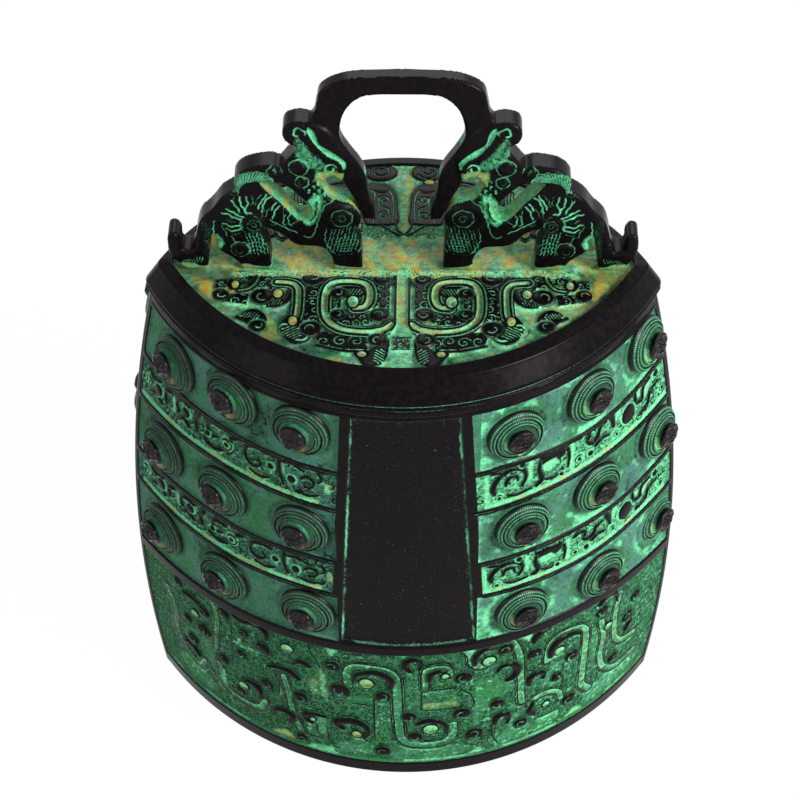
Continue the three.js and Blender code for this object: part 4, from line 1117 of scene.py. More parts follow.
def boss_shape(lit, shine):
    """One boss as polar rings from its foot in to the middle of its knob.

    lit is the direction from which its hollow is painted as lit, and shine is how bright that
    painted light is; it also lightens the whole boss.
    """
    angle = np.linspace(0, 2 * np.pi, BOSS_COLUMNS, endpoint=False)[None, :]
    inward = np.linspace(0, 1, BOSS_ROWS)[:, None]
    turn = np.mod((angle + np.pi / 2) / (2 * np.pi), 1.0)
    spiral = BOSS_RADIUS + COIL_PITCH * (0.5 - turn)
    outline = mix(BOSS_RADIUS - COIL_PITCH / 2, spiral, soft(turn / 0.14))
    radius = outline * (1 - inward) ** 0.85
    # Coil: two ridges and two rows of beads along each turn of a slope
    phase = (BOSS_RADIUS + COIL_PITCH / 2 - radius) / COIL_PITCH - turn
    tier = np.clip(np.floor(phase), 0, 2)
    q = np.clip(phase - tier, 0, 1)
    slope = 0.7 + 1.35 * np.clip(tier + turn, 0, 3)
    slope = slope + 1.7 * soft(q / 0.85) - 1.1 * soft((q - 0.86) / 0.14)
    ridge = 0.32 * np.maximum(bump(q, 0.1, 0.06), bump(q, 0.5, 0.06))
    bead = 0.42 * np.maximum(bump(q, 0.3, 0.11), bump(q, 0.68, 0.11))
    bead = bead * (0.5 + 0.5 * np.cos(angle * BEADS + 3 * tier))
    # Hollow round the knob, and the whorl on the knob
    in_moat = soft((spiral - 2 * COIL_PITCH - radius) / 0.5 + 0.5)
    height = mix(slope + ridge + bead, MOAT_LEVEL, in_moat)
    knob = soft((KNOB_RADIUS + 0.35 - radius) / 0.7)
    swirl = np.mod(radius / 1.5 - angle / (2 * np.pi), 1.0)
    whorl = 0.5 * bump(swirl, 0.5, 0.16) * soft((4.5 - radius) / 0.5)
    whorl = whorl + 0.22 * np.sin(angle * 3 + radius * 1.3) * soft((radius - 1.2) / 1.5)
    whorl = whorl + 0.12 * np.sin(angle * 7 - radius * 2)
    height = mix(height, KNOB_LEVEL - 0.5 * (radius / KNOB_RADIUS) ** 2 + whorl, knob)
    height = mix(height, FOOT_LEVEL, soft(1 - inward / 0.03) * (radius > outline * 0.9))
    # Painted light and shade: the hollow is painted bright and green towards lit and darker, barer
    # metal away from it, and shine brightens beads and tiers
    facing = soft(0.5 + 0.75 * np.cos(angle - math.radians(lit)))
    bare = mix(0.12 + 2.4 * ridge + 0.55 * soft((q - 0.72) / 0.2), 0.45 * (1 - facing), in_moat)
    bright = mix(0.2 * shine + (1.2 + shine) * bead,
                 shine * facing - 0.25 * soft((radius - 5.6) / 1.2), in_moat)
    deep = mix(1.0 - 0.2 * shine - 2.0 * bead,
               (0.8 - 0.3 * shine) * (1 - facing) + 0.3 * (1.15 - shine), in_moat)
    ochre = in_moat * soft(0.1 - 0.9 * np.cos(angle - math.radians(60))) * 0.8
    return radius, angle, height, {
        "bare": mix(bare, 1.0, knob), "bright": bright * (1 - knob),
        "ochre": ochre * (1 - knob), "deep": np.clip(deep * (1 - knob), 0, 1),
    }


def boss_piece(node, s, z, side, lean):
    # Painted light: bosses on the right of each face are painted brighter, lit low down; those on
    # the left dimmer, lit high up
    lit, shine = (-115, 1.15) if s * -side > 0 else (75, 0.45)
    radius, angle, height, values = boss_shape(lit, shine)
    values["cavity"] = height - blurred(height, 3.0)
    share = arcs.share(s, z)
    point, along, normal = body_frame(np.array(share), np.array(float(z)), side)
    stretch = np.linalg.norm(along)
    across = along * -side / stretch
    upright = np.cross(normal, across)
    u, v = radius * np.cos(angle), radius * np.sin(angle)
    # The foot follows the curved face, and the knob leans up a little
    foot = body_frame(share - side * u / stretch, z + v, side)[0] - point
    lift = height + foot @ normal * (1 - np.clip(height / 3.0, 0, 1))
    v = v + lean * np.maximum(height - 3, 0) / 5
    points = point + u[..., None] * across + v[..., None] * upright + lift[..., None] * normal
    # One that would stand out past the body's ends is set deeper
    excess = np.abs(points[..., 0]).max() - FARTHEST_OUT
    if excess > 0:
        points = points - normal * excess / abs(normal[0])
    # A flat back closes the piece inside the wall
    back = points[:1] - normal * 1.2
    rows = np.concatenate([back, points[:-1]])
    values = {key: np.concatenate([value[:1], value[:-1]]) for key, value in values.items()}
    piece = disc_mesh(node + "_visual", rows, back[0].mean(0), points[-1].mean(0), values,
                      boss_bronze)
    settle(piece, "boss_bronze", node)


for side, face_name in ((FRONT, "front"), (BACK, "back")):
    for row, hands in BOSS_PLACES.items():
        for hand, places in hands.items():
            # The back is the front turned about, so what is right there is left here
            node_hand = hand if side == FRONT else {"left": "right", "right": "left"}[hand]
            for place, (s, z) in zip(("inner", "middle", "outer"), places):
                lean = 0.8 if hand == "left" and place == "inner" else 2.4
                boss_piece(f"boss_{face_name}_{row}_{node_hand}_{place}", s * -side, z, side, lean)

# ---------------------------------------------------------------- crown plate

CROWN_EDGE_SHARE = 0.976
LOWER_WIDTH, LOWER_DEPTH = 96.6, 66.8
FIELD_LEVEL, PAD_RISE = 228.0, 1.5
FIELD_INSET = 10.8
PAD_HALF_LENGTH, PAD_HALF_WIDTH = 84.0, 8.5
FIELD_RINGS, SPIGOT_LEVEL, END_ANGLE = 200, 222.0, math.radians(33)

CROWN_TRACKS = [
    (3, 0.75, [(3.5, -33), (7, -35.8), (14, -37), (22, -35.5), (26.8, -31), (28.3, -25),
        (28, -15.5), (25.5, -11), (20, -10), (14.5, -11), (12.2, -14), (12, -20), (13.8, -23.8),
        (17, -24.5)]),
    (2.6, 0.6, [(46, -10.6), (41, -11.2), (38.4, -14), (38, -20), (38.2, -27), (39, -31)]),
    (1.6, 0.2, [(52.6, -5), (53.6, -10.5), (56.2, -14.2), (60, -15.4)]),
]
CROWN_CURLS = [
    ([(4.6, -27), (4.6, -11.5), (9.8, -11.5), (9.8, -27)], 4.4, 90),
    ([(11, -27.6), (21, -27.6), (24.5, -30), (22, -33), (13, -33.4), (10.6, -31.6)], 3.6, 0),
    ([(30.6, -31), (30.6, -12.5), (35.6, -12.5), (35.6, -31)], 4.6, 90),
    ([(12, -46.3), (21, -46), (30, -43.4), (31, -40), (29, -37), (12, -39.2)], 5.6, 8),
    ([(56, -16.8), (65, -16.8), (65.5, -21), (57, -22.6)], 4.2, 0),
    ([(47.8, -5.5), (52, -5.5), (53, -13), (48.6, -13)], 3.4, 60),
    ([(22.3, -19), (25.9, -19), (25.9, -26), (22.3, -26)], 3, 90),
    ([(64.5, -9), (68.5, -9), (69, -14), (65, -14)], 3, 0),
]
CROWN_DISCS = [
    (23.5, -16.2, 2.6), (23.3, -27.6, 2.5), (8.2, -27.6, 3.2), (32.9, -35, 3.6), (8.6, -40.6, 3.1),
    (51.5, -18, 3.9), (66.6, -17.2, 3), (52.2, -33.8, 2.9), (33, -7.6, 4), (7.6, -8.2, 2.9),
]
CROWN_LEAVES = [
    [(5, -40), (4.6, -46), (6, -52), (10, -55.4), (13, -55), (15.6, -51), (17, -47.6), (12, -47)],
    [(33, -38), (36, -32), (41, -28.6), (44, -33), (43, -39), (39, -43.4), (34, -42)],
    [(49, -30), (51, -26.4), (55, -25), (59.5, -28), (60.5, -30), (56, -33), (53, -37), (50, -35)],
    [(40.6, -18), (42, -14), (44, -19.5), (50, -21), (51, -23.4), (46, -24.2), (42, -22)],
    [(14, -13.6), (22, -13.2), (22, -18.4), (15, -18.6)],
]
CROWN_COMBS = [
    ([(7.2, -46.5), (8.4, -53)], 4.2, 1.3), ([(36.4, -39), (42.5, -35.5)], 7, 1.35),
    ([(52, -29), (58, -28.4)], 3.4, 1.1), ([(44, -21.6), (50, -22.4)], 3.2, 1.1),
    ([(15, -16), (21.5, -15.8)], 3.6, 1.2),
]
CROWN_KNOBS = [
    (18, -21, 1.9, 2.9, 0.5), (45.6, -16.8, 1.6, 2.2, 0.9), (39.6, -31.4, 1.5, 2.3, 0.8),
    (61.5, -12, 1.3, 2, 0.9), (14.2, -48.6, 1.5, 1.3, 0),
]
CROWN_OUTLINES = [
    [(29.8, -36.5), (29.9, -12), (28, -9), (24, -8), (14, -8.4), (10.6, -11)],
    [(36.4, -31), (36.3, -13), (38, -9.6), (42, -8.4), (47, -8.4), (48.2, -12), (48.4, -17),
        (46, -20)],
    [(12, -47), (21, -46.8), (31, -44)], [(4, -38.4), (-4, -38.4)],
    [(62.8, -8.8), (64.2, -12), (62.6, -15)],
]
CROWN_FOOT_CURLS = [(-3.4, -39.6), (3.4, -39.6), (3.4, -46), (-3.4, -46)]
CROWN_STAINS = [
    ([(70, -9), (76.5, -9.5), (75, -14), (70, -20)], 0.5, 1),
    ([(54, -37), (60, -32), (62, -31), (56, -38)], 0.2, 0.8),
]
BACK_GROOVE = [(0, 17.5), (1.7, 21), (1.7, 38), (3.6, 45), (2.8, 50), (3.6, 57), (0, 57)]
BACK_STRIP = [(2.6, 22.5), (2.4, 32), (3, 40), (5.6, 44.8), (9.4, 46), (14.6, 44.4), (14.6, 22.5)]
BACK_CUTS = [
    (0.4, 0.4, 0.6, [(4.2, 23.6), (4, 34), (5.2, 40.6), (8.4, 43.8)]),
    (0.4, 0.4, 0.6, [(11.4, 23), (11.6, 34), (11.2, 40), (13.6, 42)]),
    (0.5, 0.45, 0.4, [(9.6, 37.4), (9.2, 32.6), (6.2, 30.8), (5.6, 27)]),
]
BACK_RIBS = [
    [(9.4, 22.6), (6.4, 20), (3.4, 17.4), (1.2, 16)], [(3.2, 24), (2.4, 19.6), (0.2, 16.6)],
]
CORNICE_FOOT = [
    (15.1, 222, 1, 0), (15.1, 212.6, 1, 0), (11.6, 212.6, 1, 0), (11.6, 217.6, 1, 0),
    (1.3, 217.6, 1, 0), (0.5, 217.65, 1, 0), (0.1, 217.9, 1, 0), (0, 218.2, 1, 0),
    (0.1, 218.55, 1, 0), (0.5, 218.85, 1, 0), (1.1, 219, 0.3, 0.8), (1.2, 219.25, 0.2, 0.8),
    (0.9, 219.5, 0.6, 0.3), (0.35, 219.75, 1, 0), (0.05, 220.1, 1, 0), (0, 220.4, 1, 0),
    (0.2, 220.9, 1, 0),
]
CORNICE_LIP = [
    (10.15, 230, 1, 0), (10.35, 229.85, 1, 0), (10.5, 229.3, 0.9, 0.2), (10.6, 228.8, 0.5, 0.7),
]


def paint_quarter(c, flip_x, flip_y):
    """One quarter of the crown's ornament, given for the front on the right."""

    def put(points):
        return np.asarray(points, float) * (flip_x, flip_y)

    hand = flip_x * flip_y
    c.curls(put(CROWN_FOOT_CURLS), 2.2, 1, 0.3, 0.4, bare=0.25, line=0.5)
    for outline, pitch, angle in CROWN_CURLS:
        c.area(put(outline), 0.6, height=0.1, bare=0, bright=0.8)
        c.curls(put(outline), pitch, 1.5, 0.8, 1.3, angle * hand, line=0.45)
    for points in CROWN_OUTLINES:
        c.stroke(smooth_path(put(points)), 1.1, 0.3, 0.6, height=1.3, **DARK)
    for width, ochre, points in CROWN_TRACKS:
        c.track(smooth_path(put(points)), width - 0.7, ochre * 0.7, 1.4, width > 2)
    for outline in CROWN_LEAVES:
        c.area(smooth_path(put(outline), closed=True), 0.35, height=1.3, **DARK)
    for points, width, pitch in CROWN_COMBS:
        c.comb(put(points), width, pitch, 0.5 * flip_x, 0.7)
    for k, (x, y, r) in enumerate(CROWN_DISCS):
        c.disc((x * flip_x, y * flip_y), r, hand, 60 + 50 * k, 1.0)
    for x, y, rx, ry, ochre in CROWN_KNOBS:
        c.knob((x * flip_x, y * flip_y), rx, ry, max(ochre, 0.6), 0.7, 1.1)
    for outline, height, ochre in CROWN_STAINS:
        c.area(put(outline), 0.6, height=height, bare=0, ochre=ochre, deep=0)


def paint_behind_loop(c):
    """Paired spirals, strips of S curls, and a groove that widens to the rim."""
    field = np.array([(-15, 13.5), (15, 13.5), (16, 57), (-16, 57)], float)
    c.area(field, 0.6, height=0, bare=0, bright=0.35, ochre=0, deep=0.2)
    for hand in (1, -1):

        def put(points, closed=False):
            return smooth_path(np.asarray(points, float) * (hand, 1), closed=closed)

        c.area(put(BACK_GROOVE, True), 0.4, height=0, bright=0.6, deep=0,
               ochre=0.7 if hand > 0 else 0.2)
        c.area(put(BACK_STRIP, True), height=1, bare=1, deep=0)
        for bright, width, height, points in BACK_CUTS:
            c.stroke(put(points), width, 0.25, height=height, bare=0, bright=bright)
        for y, turn in ((36, 1), (27, -1)):
            path = spiral_path((7.6 * hand, y), 2.3, 1.3, 90 + 90 * turn, hand * turn, 0.5)
            c.stroke(path, 0.5, 0.25, 0.4, height=0.4, bare=0, bright=0.5)
        c.dome((8.6 * hand, 42.4), 2.9, 2.7, 0.5, 0.8, bare=1)
        c.dome((9.2 * hand, 52.2), 7.1, 5.7, 0.3, 0.1, bare=0.15, bright=0.3)
        c.dome((9.2 * hand, 52.2), 6.5, 5.2, 0.7, 0.8, bare=1)
        c.stroke(spiral_path((9.4 * hand, 52.4), 4.6, 1.6, 200, hand, 1), 0.4, 0.25, 0.6,
                 height=0.7, bare=0.25, bright=0.2)
        chased = np.array([(3, 16), (13, 14.6), (14, 21.6), (2.6, 21.8)]) * (hand, 1)
        c.curls(chased, 3.2, 1.2, 0.4, 0.5, bare=0.55, line=0.4)
        for points in BACK_RIBS:
            c.stroke(put(points), 0.7, 0.25, height=0.9, bare=1)
    c.knob((9.6, 46.6), 1.7, 1.1, 1.0, 0.8)


def paint_pad(c, grid_x, grid_y):
    """Smooth stained mounds between the beasts, and the low pad under the handle."""
    reach = np.where(grid_y < 0, 6.7, PAD_HALF_WIDTH)
    pad = soft((1 - np.hypot(grid_x / PAD_HALF_LENGTH, grid_y / reach)) / 0.14)
    uneven = 0.5 + 0.28 * np.sin(grid_x * 0.31 + 1) + 0.22 * np.sin(grid_x * 0.83 + grid_y * 0.5)
    uneven = uneven + 0.1 * np.sin(grid_y * 1.9)
    top_edge = 15.2 - np.abs(grid_x) * 0.05 + 1.3 * np.cos(grid_x * 0.9)
    mound = soft((grid_y - 4) / 3) * soft((top_edge - grid_y) / 0.9)
    swell = np.sin(np.clip((grid_y - 4) / 11.5, 0, 1) * 3.14) ** 0.5
    c.cover(mound * soft((62 - np.abs(grid_x)) / 5), height=0.5 + swell, bare=0, bright=0.5,
            ochre=0.15 + 0.8 * uneven, deep=0.3 * (1 - uneven))
    c.cover(pad, height=PAD_RISE, bare=0, bright=0.5,
            ochre=0.2 + 0.75 * uneven, deep=0.3 * (1 - uneven))
    chased = soft((-4.4 + 0.3 * np.sin(grid_x * 0.45) - grid_y) / 0.5)
    chased = chased * soft((grid_y + 7.6 + 0.5 * np.sin(grid_x * 0.6)) / 0.5)
    chased = chased * soft((66 - np.abs(grid_x)) / 4)
    tight = curl_field(grid_x, grid_y, 2.3, 1.1, 0.42)
    c.cover(chased * (1 - 0.7 * pad), height=0.9)
    c.height -= 0.35 * chased * tight
    c.cover(chased, bare=0.95 * tight, bright=0.75, ochre=0.5, deep=0)
    return pad


def paint_crown():
    c = Canvas(-98, 98, -68, 68, 0.25)
    grid_x, grid_y = np.meshgrid(c.u, c.v)
    far_x, far_y = np.abs(grid_x), np.abs(grid_y)
    # The ground near the middle is chased all over, and towards the rim and tips it is smooth
    cuts = curl_field(grid_x, grid_y, 3.0, 1.1, 0.45)
    rough = soft((30 - np.abs(far_y - 10)) / 10) * soft((66 - far_x) / 6) * soft((14 - far_y) / 3)
    c.height[:] = 0.35 * rough * (1 - cuts)
    c.bare[:] = 0.75 * rough * (1 - cuts)
    large, small = clouds(c, 14, 31), clouds(c, 3, 32)
    patch = 0.6 * large + 0.4 * small
    c.bright[:] = -0.12 + patch
    c.ochre[:] = 0.3 * soft((far_x - 48) / 20) * (0.4 + soft(grid_x / 40))
    c.ochre += 0.4 * soft((small - 0.55) / 0.25) * soft((clouds(c, 9, 34) - 0.3) / 0.3)
    c.deep[:] = 0.5 * rough * cuts
    c.deep += np.clip(2.2 * (0.52 - patch), 0, 0.66)
    c.deep += 0.3 * soft((clouds(c, 1.4, 33) - 0.72) / 0.14)
    for flip_y in (1, -1):
        for flip_x in (1, -1):
            paint_quarter(c, flip_x, flip_y)
    # The plain groove down the middle, wider at its foot
    wide = 2.0 + 1.9 * soft((far_y - 32) / 6)
    bar = soft((wide - far_x) / 0.4 + 0.5) * soft((58 - far_y) / 0.8)
    edge = soft((0.5 - np.abs(far_x - wide - 0.5)) / 0.25 + 0.3) * soft((37 - far_y) / 0.8)
    c.cover(edge, height=1.2, **DARK)
    c.cover(bar, height=0.05, bare=0, deep=0, bright=0.6, ochre=0.55 * soft((36 - far_y) / 6))
    c.curls([(-3.4, -39.6), (3.4, -39.6), (3.4, -45.4), (-3.4, -45.4)], 2.4, 1, 0.4, 0.5,
            bare=0.7, line=0.3)
    for y in (-39.4, -45.6):
        c.stroke(np.array([(-3.6, y), (3.6, y)]), 0.5, 0.25, height=0.6, bare=0.8)
    paint_behind_loop(c)
    pad = paint_pad(c, grid_x, grid_y)
    # Painted highlight in front of what stands out, and painted shade behind it
    plain = (1 - c.bare) * (1 - pad)
    above = blurred(np.roll(c.bare, 5, 0), 1.6)
    below = blurred(np.roll(c.bare, -5, 0), 1.6)
    c.bright += 0.5 * plain * np.clip(below - c.bare, 0, 1)
    painted_shade = 0.55 * plain * np.clip(above - c.bare, 0, 1) * (small > 0.3)
    c.deep = np.clip(c.deep + painted_shade, 0, 1)
    c.cavity = c.height - blurred(c.height, 4.0)
    return c


def lens_ring(inset, z):
    """A ring round the crown with rounded ends, at a distance in from its widest outline."""
    shares = np.linspace(-CROWN_EDGE_SHARE, CROWN_EDGE_SHARE, 480)
    angle = np.linspace(-END_ANGLE, END_ANGLE, 18)[1:-1]
    ring = []
    for side in (FRONT, BACK):
        x, y = section_point(LOWER_WIDTH - inset, LOWER_DEPTH - inset, shares * -side, side)
        radius = abs(y[-1]) / math.sin(END_ANGLE)
        middle = abs(x[-1]) - radius * math.cos(END_ANGLE)
        end_x, end_y = middle + radius * np.cos(angle), radius * np.sin(angle)
        ring.append(np.stack([np.append(x, end_x * -side), np.append(y, end_y * -side)], -1))
    ring = np.concatenate(ring)
    return np.column_stack([ring, np.full(len(ring), z)])


def cornice_profile():
    """Inset, height, bare and bright of each ring from the neck to the sunken field."""
    profile = list(CORNICE_FOOT)
    for t in np.linspace(0.08, 0.97, 14):
        profile.append((mix(0.2, 5.0, t), mix(220.9, 228.3, t), 1, 0))
    profile += [(5.1, 228.55, 1, 0), (5.35, 228.75, 1, 0), (5.7, 228.9, 1, 0)]
    for t in np.linspace(0.1, 1, 8):
        profile.append((mix(5.7, 9.9, t), mix(228.9, 229.95, t), 1, 0))
    return profile + CORNICE_LIP


def make_crown():
    canvas = paint_crown()
    profile = cornice_profile()
    rings = np.array([lens_ring(inset, z) for inset, z, _, _ in profile])
    edge = lens_ring(FIELD_INSET, FIELD_LEVEL)
    scale = np.linspace(1, 0, FIELD_RINGS + 1)[:-1]
    field = edge[None] * np.stack([scale, scale, np.ones(FIELD_RINGS)], -1)[:, None]
    x, y = field[..., 0], field[..., 1]
    field[..., 2] += sample(canvas, "height", x, y)
    head, columns = rings.shape[:2]
    values = {}
    for name in FINISH + ("cavity",):
        start = [{"bare": bare, "bright": bright}.get(name, 0) for _, _, bare, bright in profile]
        start = np.repeat(np.array(start, float)[:, None], columns, 1)
        values[name] = np.concatenate([start, sample(canvas, name, x, y)])
    run = np.concatenate([np.linspace(0.02, 0.3, head), np.linspace(0.304, 0.98, FIELD_RINGS)])
    bottom, top = [0, 0, SPIGOT_LEVEL], [0, 0, FIELD_LEVEL + PAD_RISE]
    piece = disc_mesh("crown_plate_visual", np.concatenate([rings, field]), bottom, top, values,
                      crown_bronze, run)
    settle(piece, "crown_bronze", "crown_plate")


make_crown()

# ---------------------------------------------------------------- handle

HANDLE_HALF_LENGTH, HANDLE_HEIGHT, HANDLE_BASE = 86.2, 87.4, 229.8
LOOP_HALF, BEAST_HALF = 3.2, 4.8
BEAST_RUNS = [
    [(.171, 0), (.178, .115), (.198, .193), (.176, .272), (.206, .343), (.262, .37), (.303, .385),
        (.33, .43), (.342, .466)],
    [(.342, .466), (.3, .503), (.25, .48)], [(.25, .48), (.235, .6), (.3, .735), (.385, .78)],
    [(.385, .78), (.43, .785), (.478, .765), (.49, .718), (.462, .678)],
    [(.462, .678), (.437, .648), (.484, .58), (.51, .545)],
    [(.51, .545), (.555, .56), (.63, .546), (.676, .518), (.7, .48), (.695, .435)],
    [(.695, .435), (.757, .387), (.8, .325), (.85, .268), (.872, .2), (.884, .13), (.902, .1),
        (.94, .11), (.945, .165), (.966, .194), (.993, .185), (1, .14), (.993, .08), (.962, .035),
        (.93, 0)],
    [(.93, 0), (.835, 0)], [(.835, 0), (.822, .1), (.808, .19)],
    [(.808, .19), (.782, .16), (.785, .11), (.71, .045), (.69, 0)], [(.69, 0), (.56, 0)],
    [(.56, 0), (.572, .112), (.602, .195), (.6, .235)],
    [(.6, .235), (.523, .202), (.45, .135), (.345, .12), (.305, .07), (.296, 0)],
    [(.296, 0), (.171, 0)],
]
CREST_GAP = [
    (.595, .475), (.527, .474), (.49, .465), (.433, .408), (.383, .34), (.392, .282), (.43, .267),
    (.46, .292), (.516, .368), (.56, .416),
]
LOOP_RUNS = [
    [(0, 1), (.18, .994), (.27, .972), (.33, .93), (.348, .87), (.36, .81), (.385, .775)],
    [(.385, .775), (.36, .62), (.303, .506), (.253, .478)],
    [(.253, .478), (.231, .428), (.203, .37), (.16, .265)], [(.16, .265), (.115, .258)],
    [(.115, .258), (.122, .325), (.143, .392), (.153, .487), (.174, .545), (.22, .62),
        (.255, .694), (.251, .777), (.222, .85), (.165, .902), (.09, .914)],
]
HANDLE_ROUNDS = [
    ((.436, .722), 4.6, 4.8), ((.278, .292), 6.6, 5.7), ((.658, .25), 7.4, 5.7),
    ((.416, .552), 2.4, 5.7),
]
EDGE_RADIUS, NEAR, DEEPEST = 0.9, 3.0, 6.2
HEAD_BAND = [(33, 66.6), (31.8, 63), (30.4, 58.4), (26.4, 55.2), (22.4, 51.6), (20.2, 47.4)]
HEAD_S = [(36, 68.4), (34, 64), (31.6, 59), (27.6, 54), (23.8, 51.4), (22.2, 49), (22.4, 46.4)]
HANDLE_CUTS = [
    (0.5, 0.9, 0.1, 0.35, [[(14.2, 24), (12.9, 19), (13.8, 13.6), (16.4, 8.4)]]),
    (0.5, 0.7, 0.2, 0.35, [[(27.4, 20.6), (28.4, 15), (26.6, 10), (24.6, 7.6)]]),
    (0.6, 0.9, 0.1, 0.35, [[(38, 17.6), (43, 20.6), (48.6, 24.2)]]),
    (0.65, 0.75, 0.1, 0.35, [[(40, 28.4), (41.6, 24.6), (40.2, 20.6)]]),
    (0.6, 0.75, 0.1, 0.35, [[(42.4, 26.6), (43.4, 23), (42.4, 21)]]),
    (0.8, 1, 0, 0.35, [[(43, 34), (46.6, 35.4), (49.8, 32.4), (51, 27.4)], [(44, 31.2), (46, 28.4),
        (47.2, 24.6)], [(45.4, 32.4), (46.8, 30.4), (47.6, 28.6)], [(48.6, 36.4), (51, 32.6),
        (52.4, 29)], [(56.6, 35.6), (55.8, 31.6), (57, 28.8), (54.2, 27.6)], [(58.8, 35.4),
        (58.2, 30.8), (56, 27.4)], [(64.6, 29.4), (61, 27.6), (57, 25.6)], [(66, 27.4), (62, 26.2),
        (58, 24.8)], [(65.6, 22.4), (62, 21.6), (58, 22.4)], [(64.6, 19.8), (60.4, 19.6),
        (57.6, 22)], [(38.4, 31.6), (39.6, 28.6), (39, 25)], [(62, 34), (60.4, 30.6),
        (58.6, 28)]]),
    (0.45, 0.7, 0.3, 0.2, [[(41.6, 32.4), (43, 29.6), (43.2, 25.6)], [(47.4, 30.6), (49, 28),
        (49.8, 25)], [(49.6, 29.4), (50.8, 27), (51, 25.4)], [(39.8, 36), (41.6, 34.6),
        (42.4, 33)], [(60.6, 35), (61, 32), (60, 29.6)], [(54.6, 35.8), (53.8, 33), (54.8, 30.4)],
        [(50.4, 36.6), (52.6, 33.4), (53.4, 30.6)], [(64.8, 24.6), (62.6, 24), (60.6, 23.8)],
        [(62.6, 17.6), (60.6, 17.8), (59, 19)], [(45.4, 22.8), (46.6, 21.6), (48.4, 22.2)],
        [(38, 24), (40, 22), (42, 22.4)]]),
]


def handle_mm(points):
    return np.asarray(points, float) * (HANDLE_HALF_LENGTH, HANDLE_HEIGHT)


def joined_runs(runs):
    return np.vstack([smooth_path(handle_mm(run), 0.5)[:-1] for run in runs])


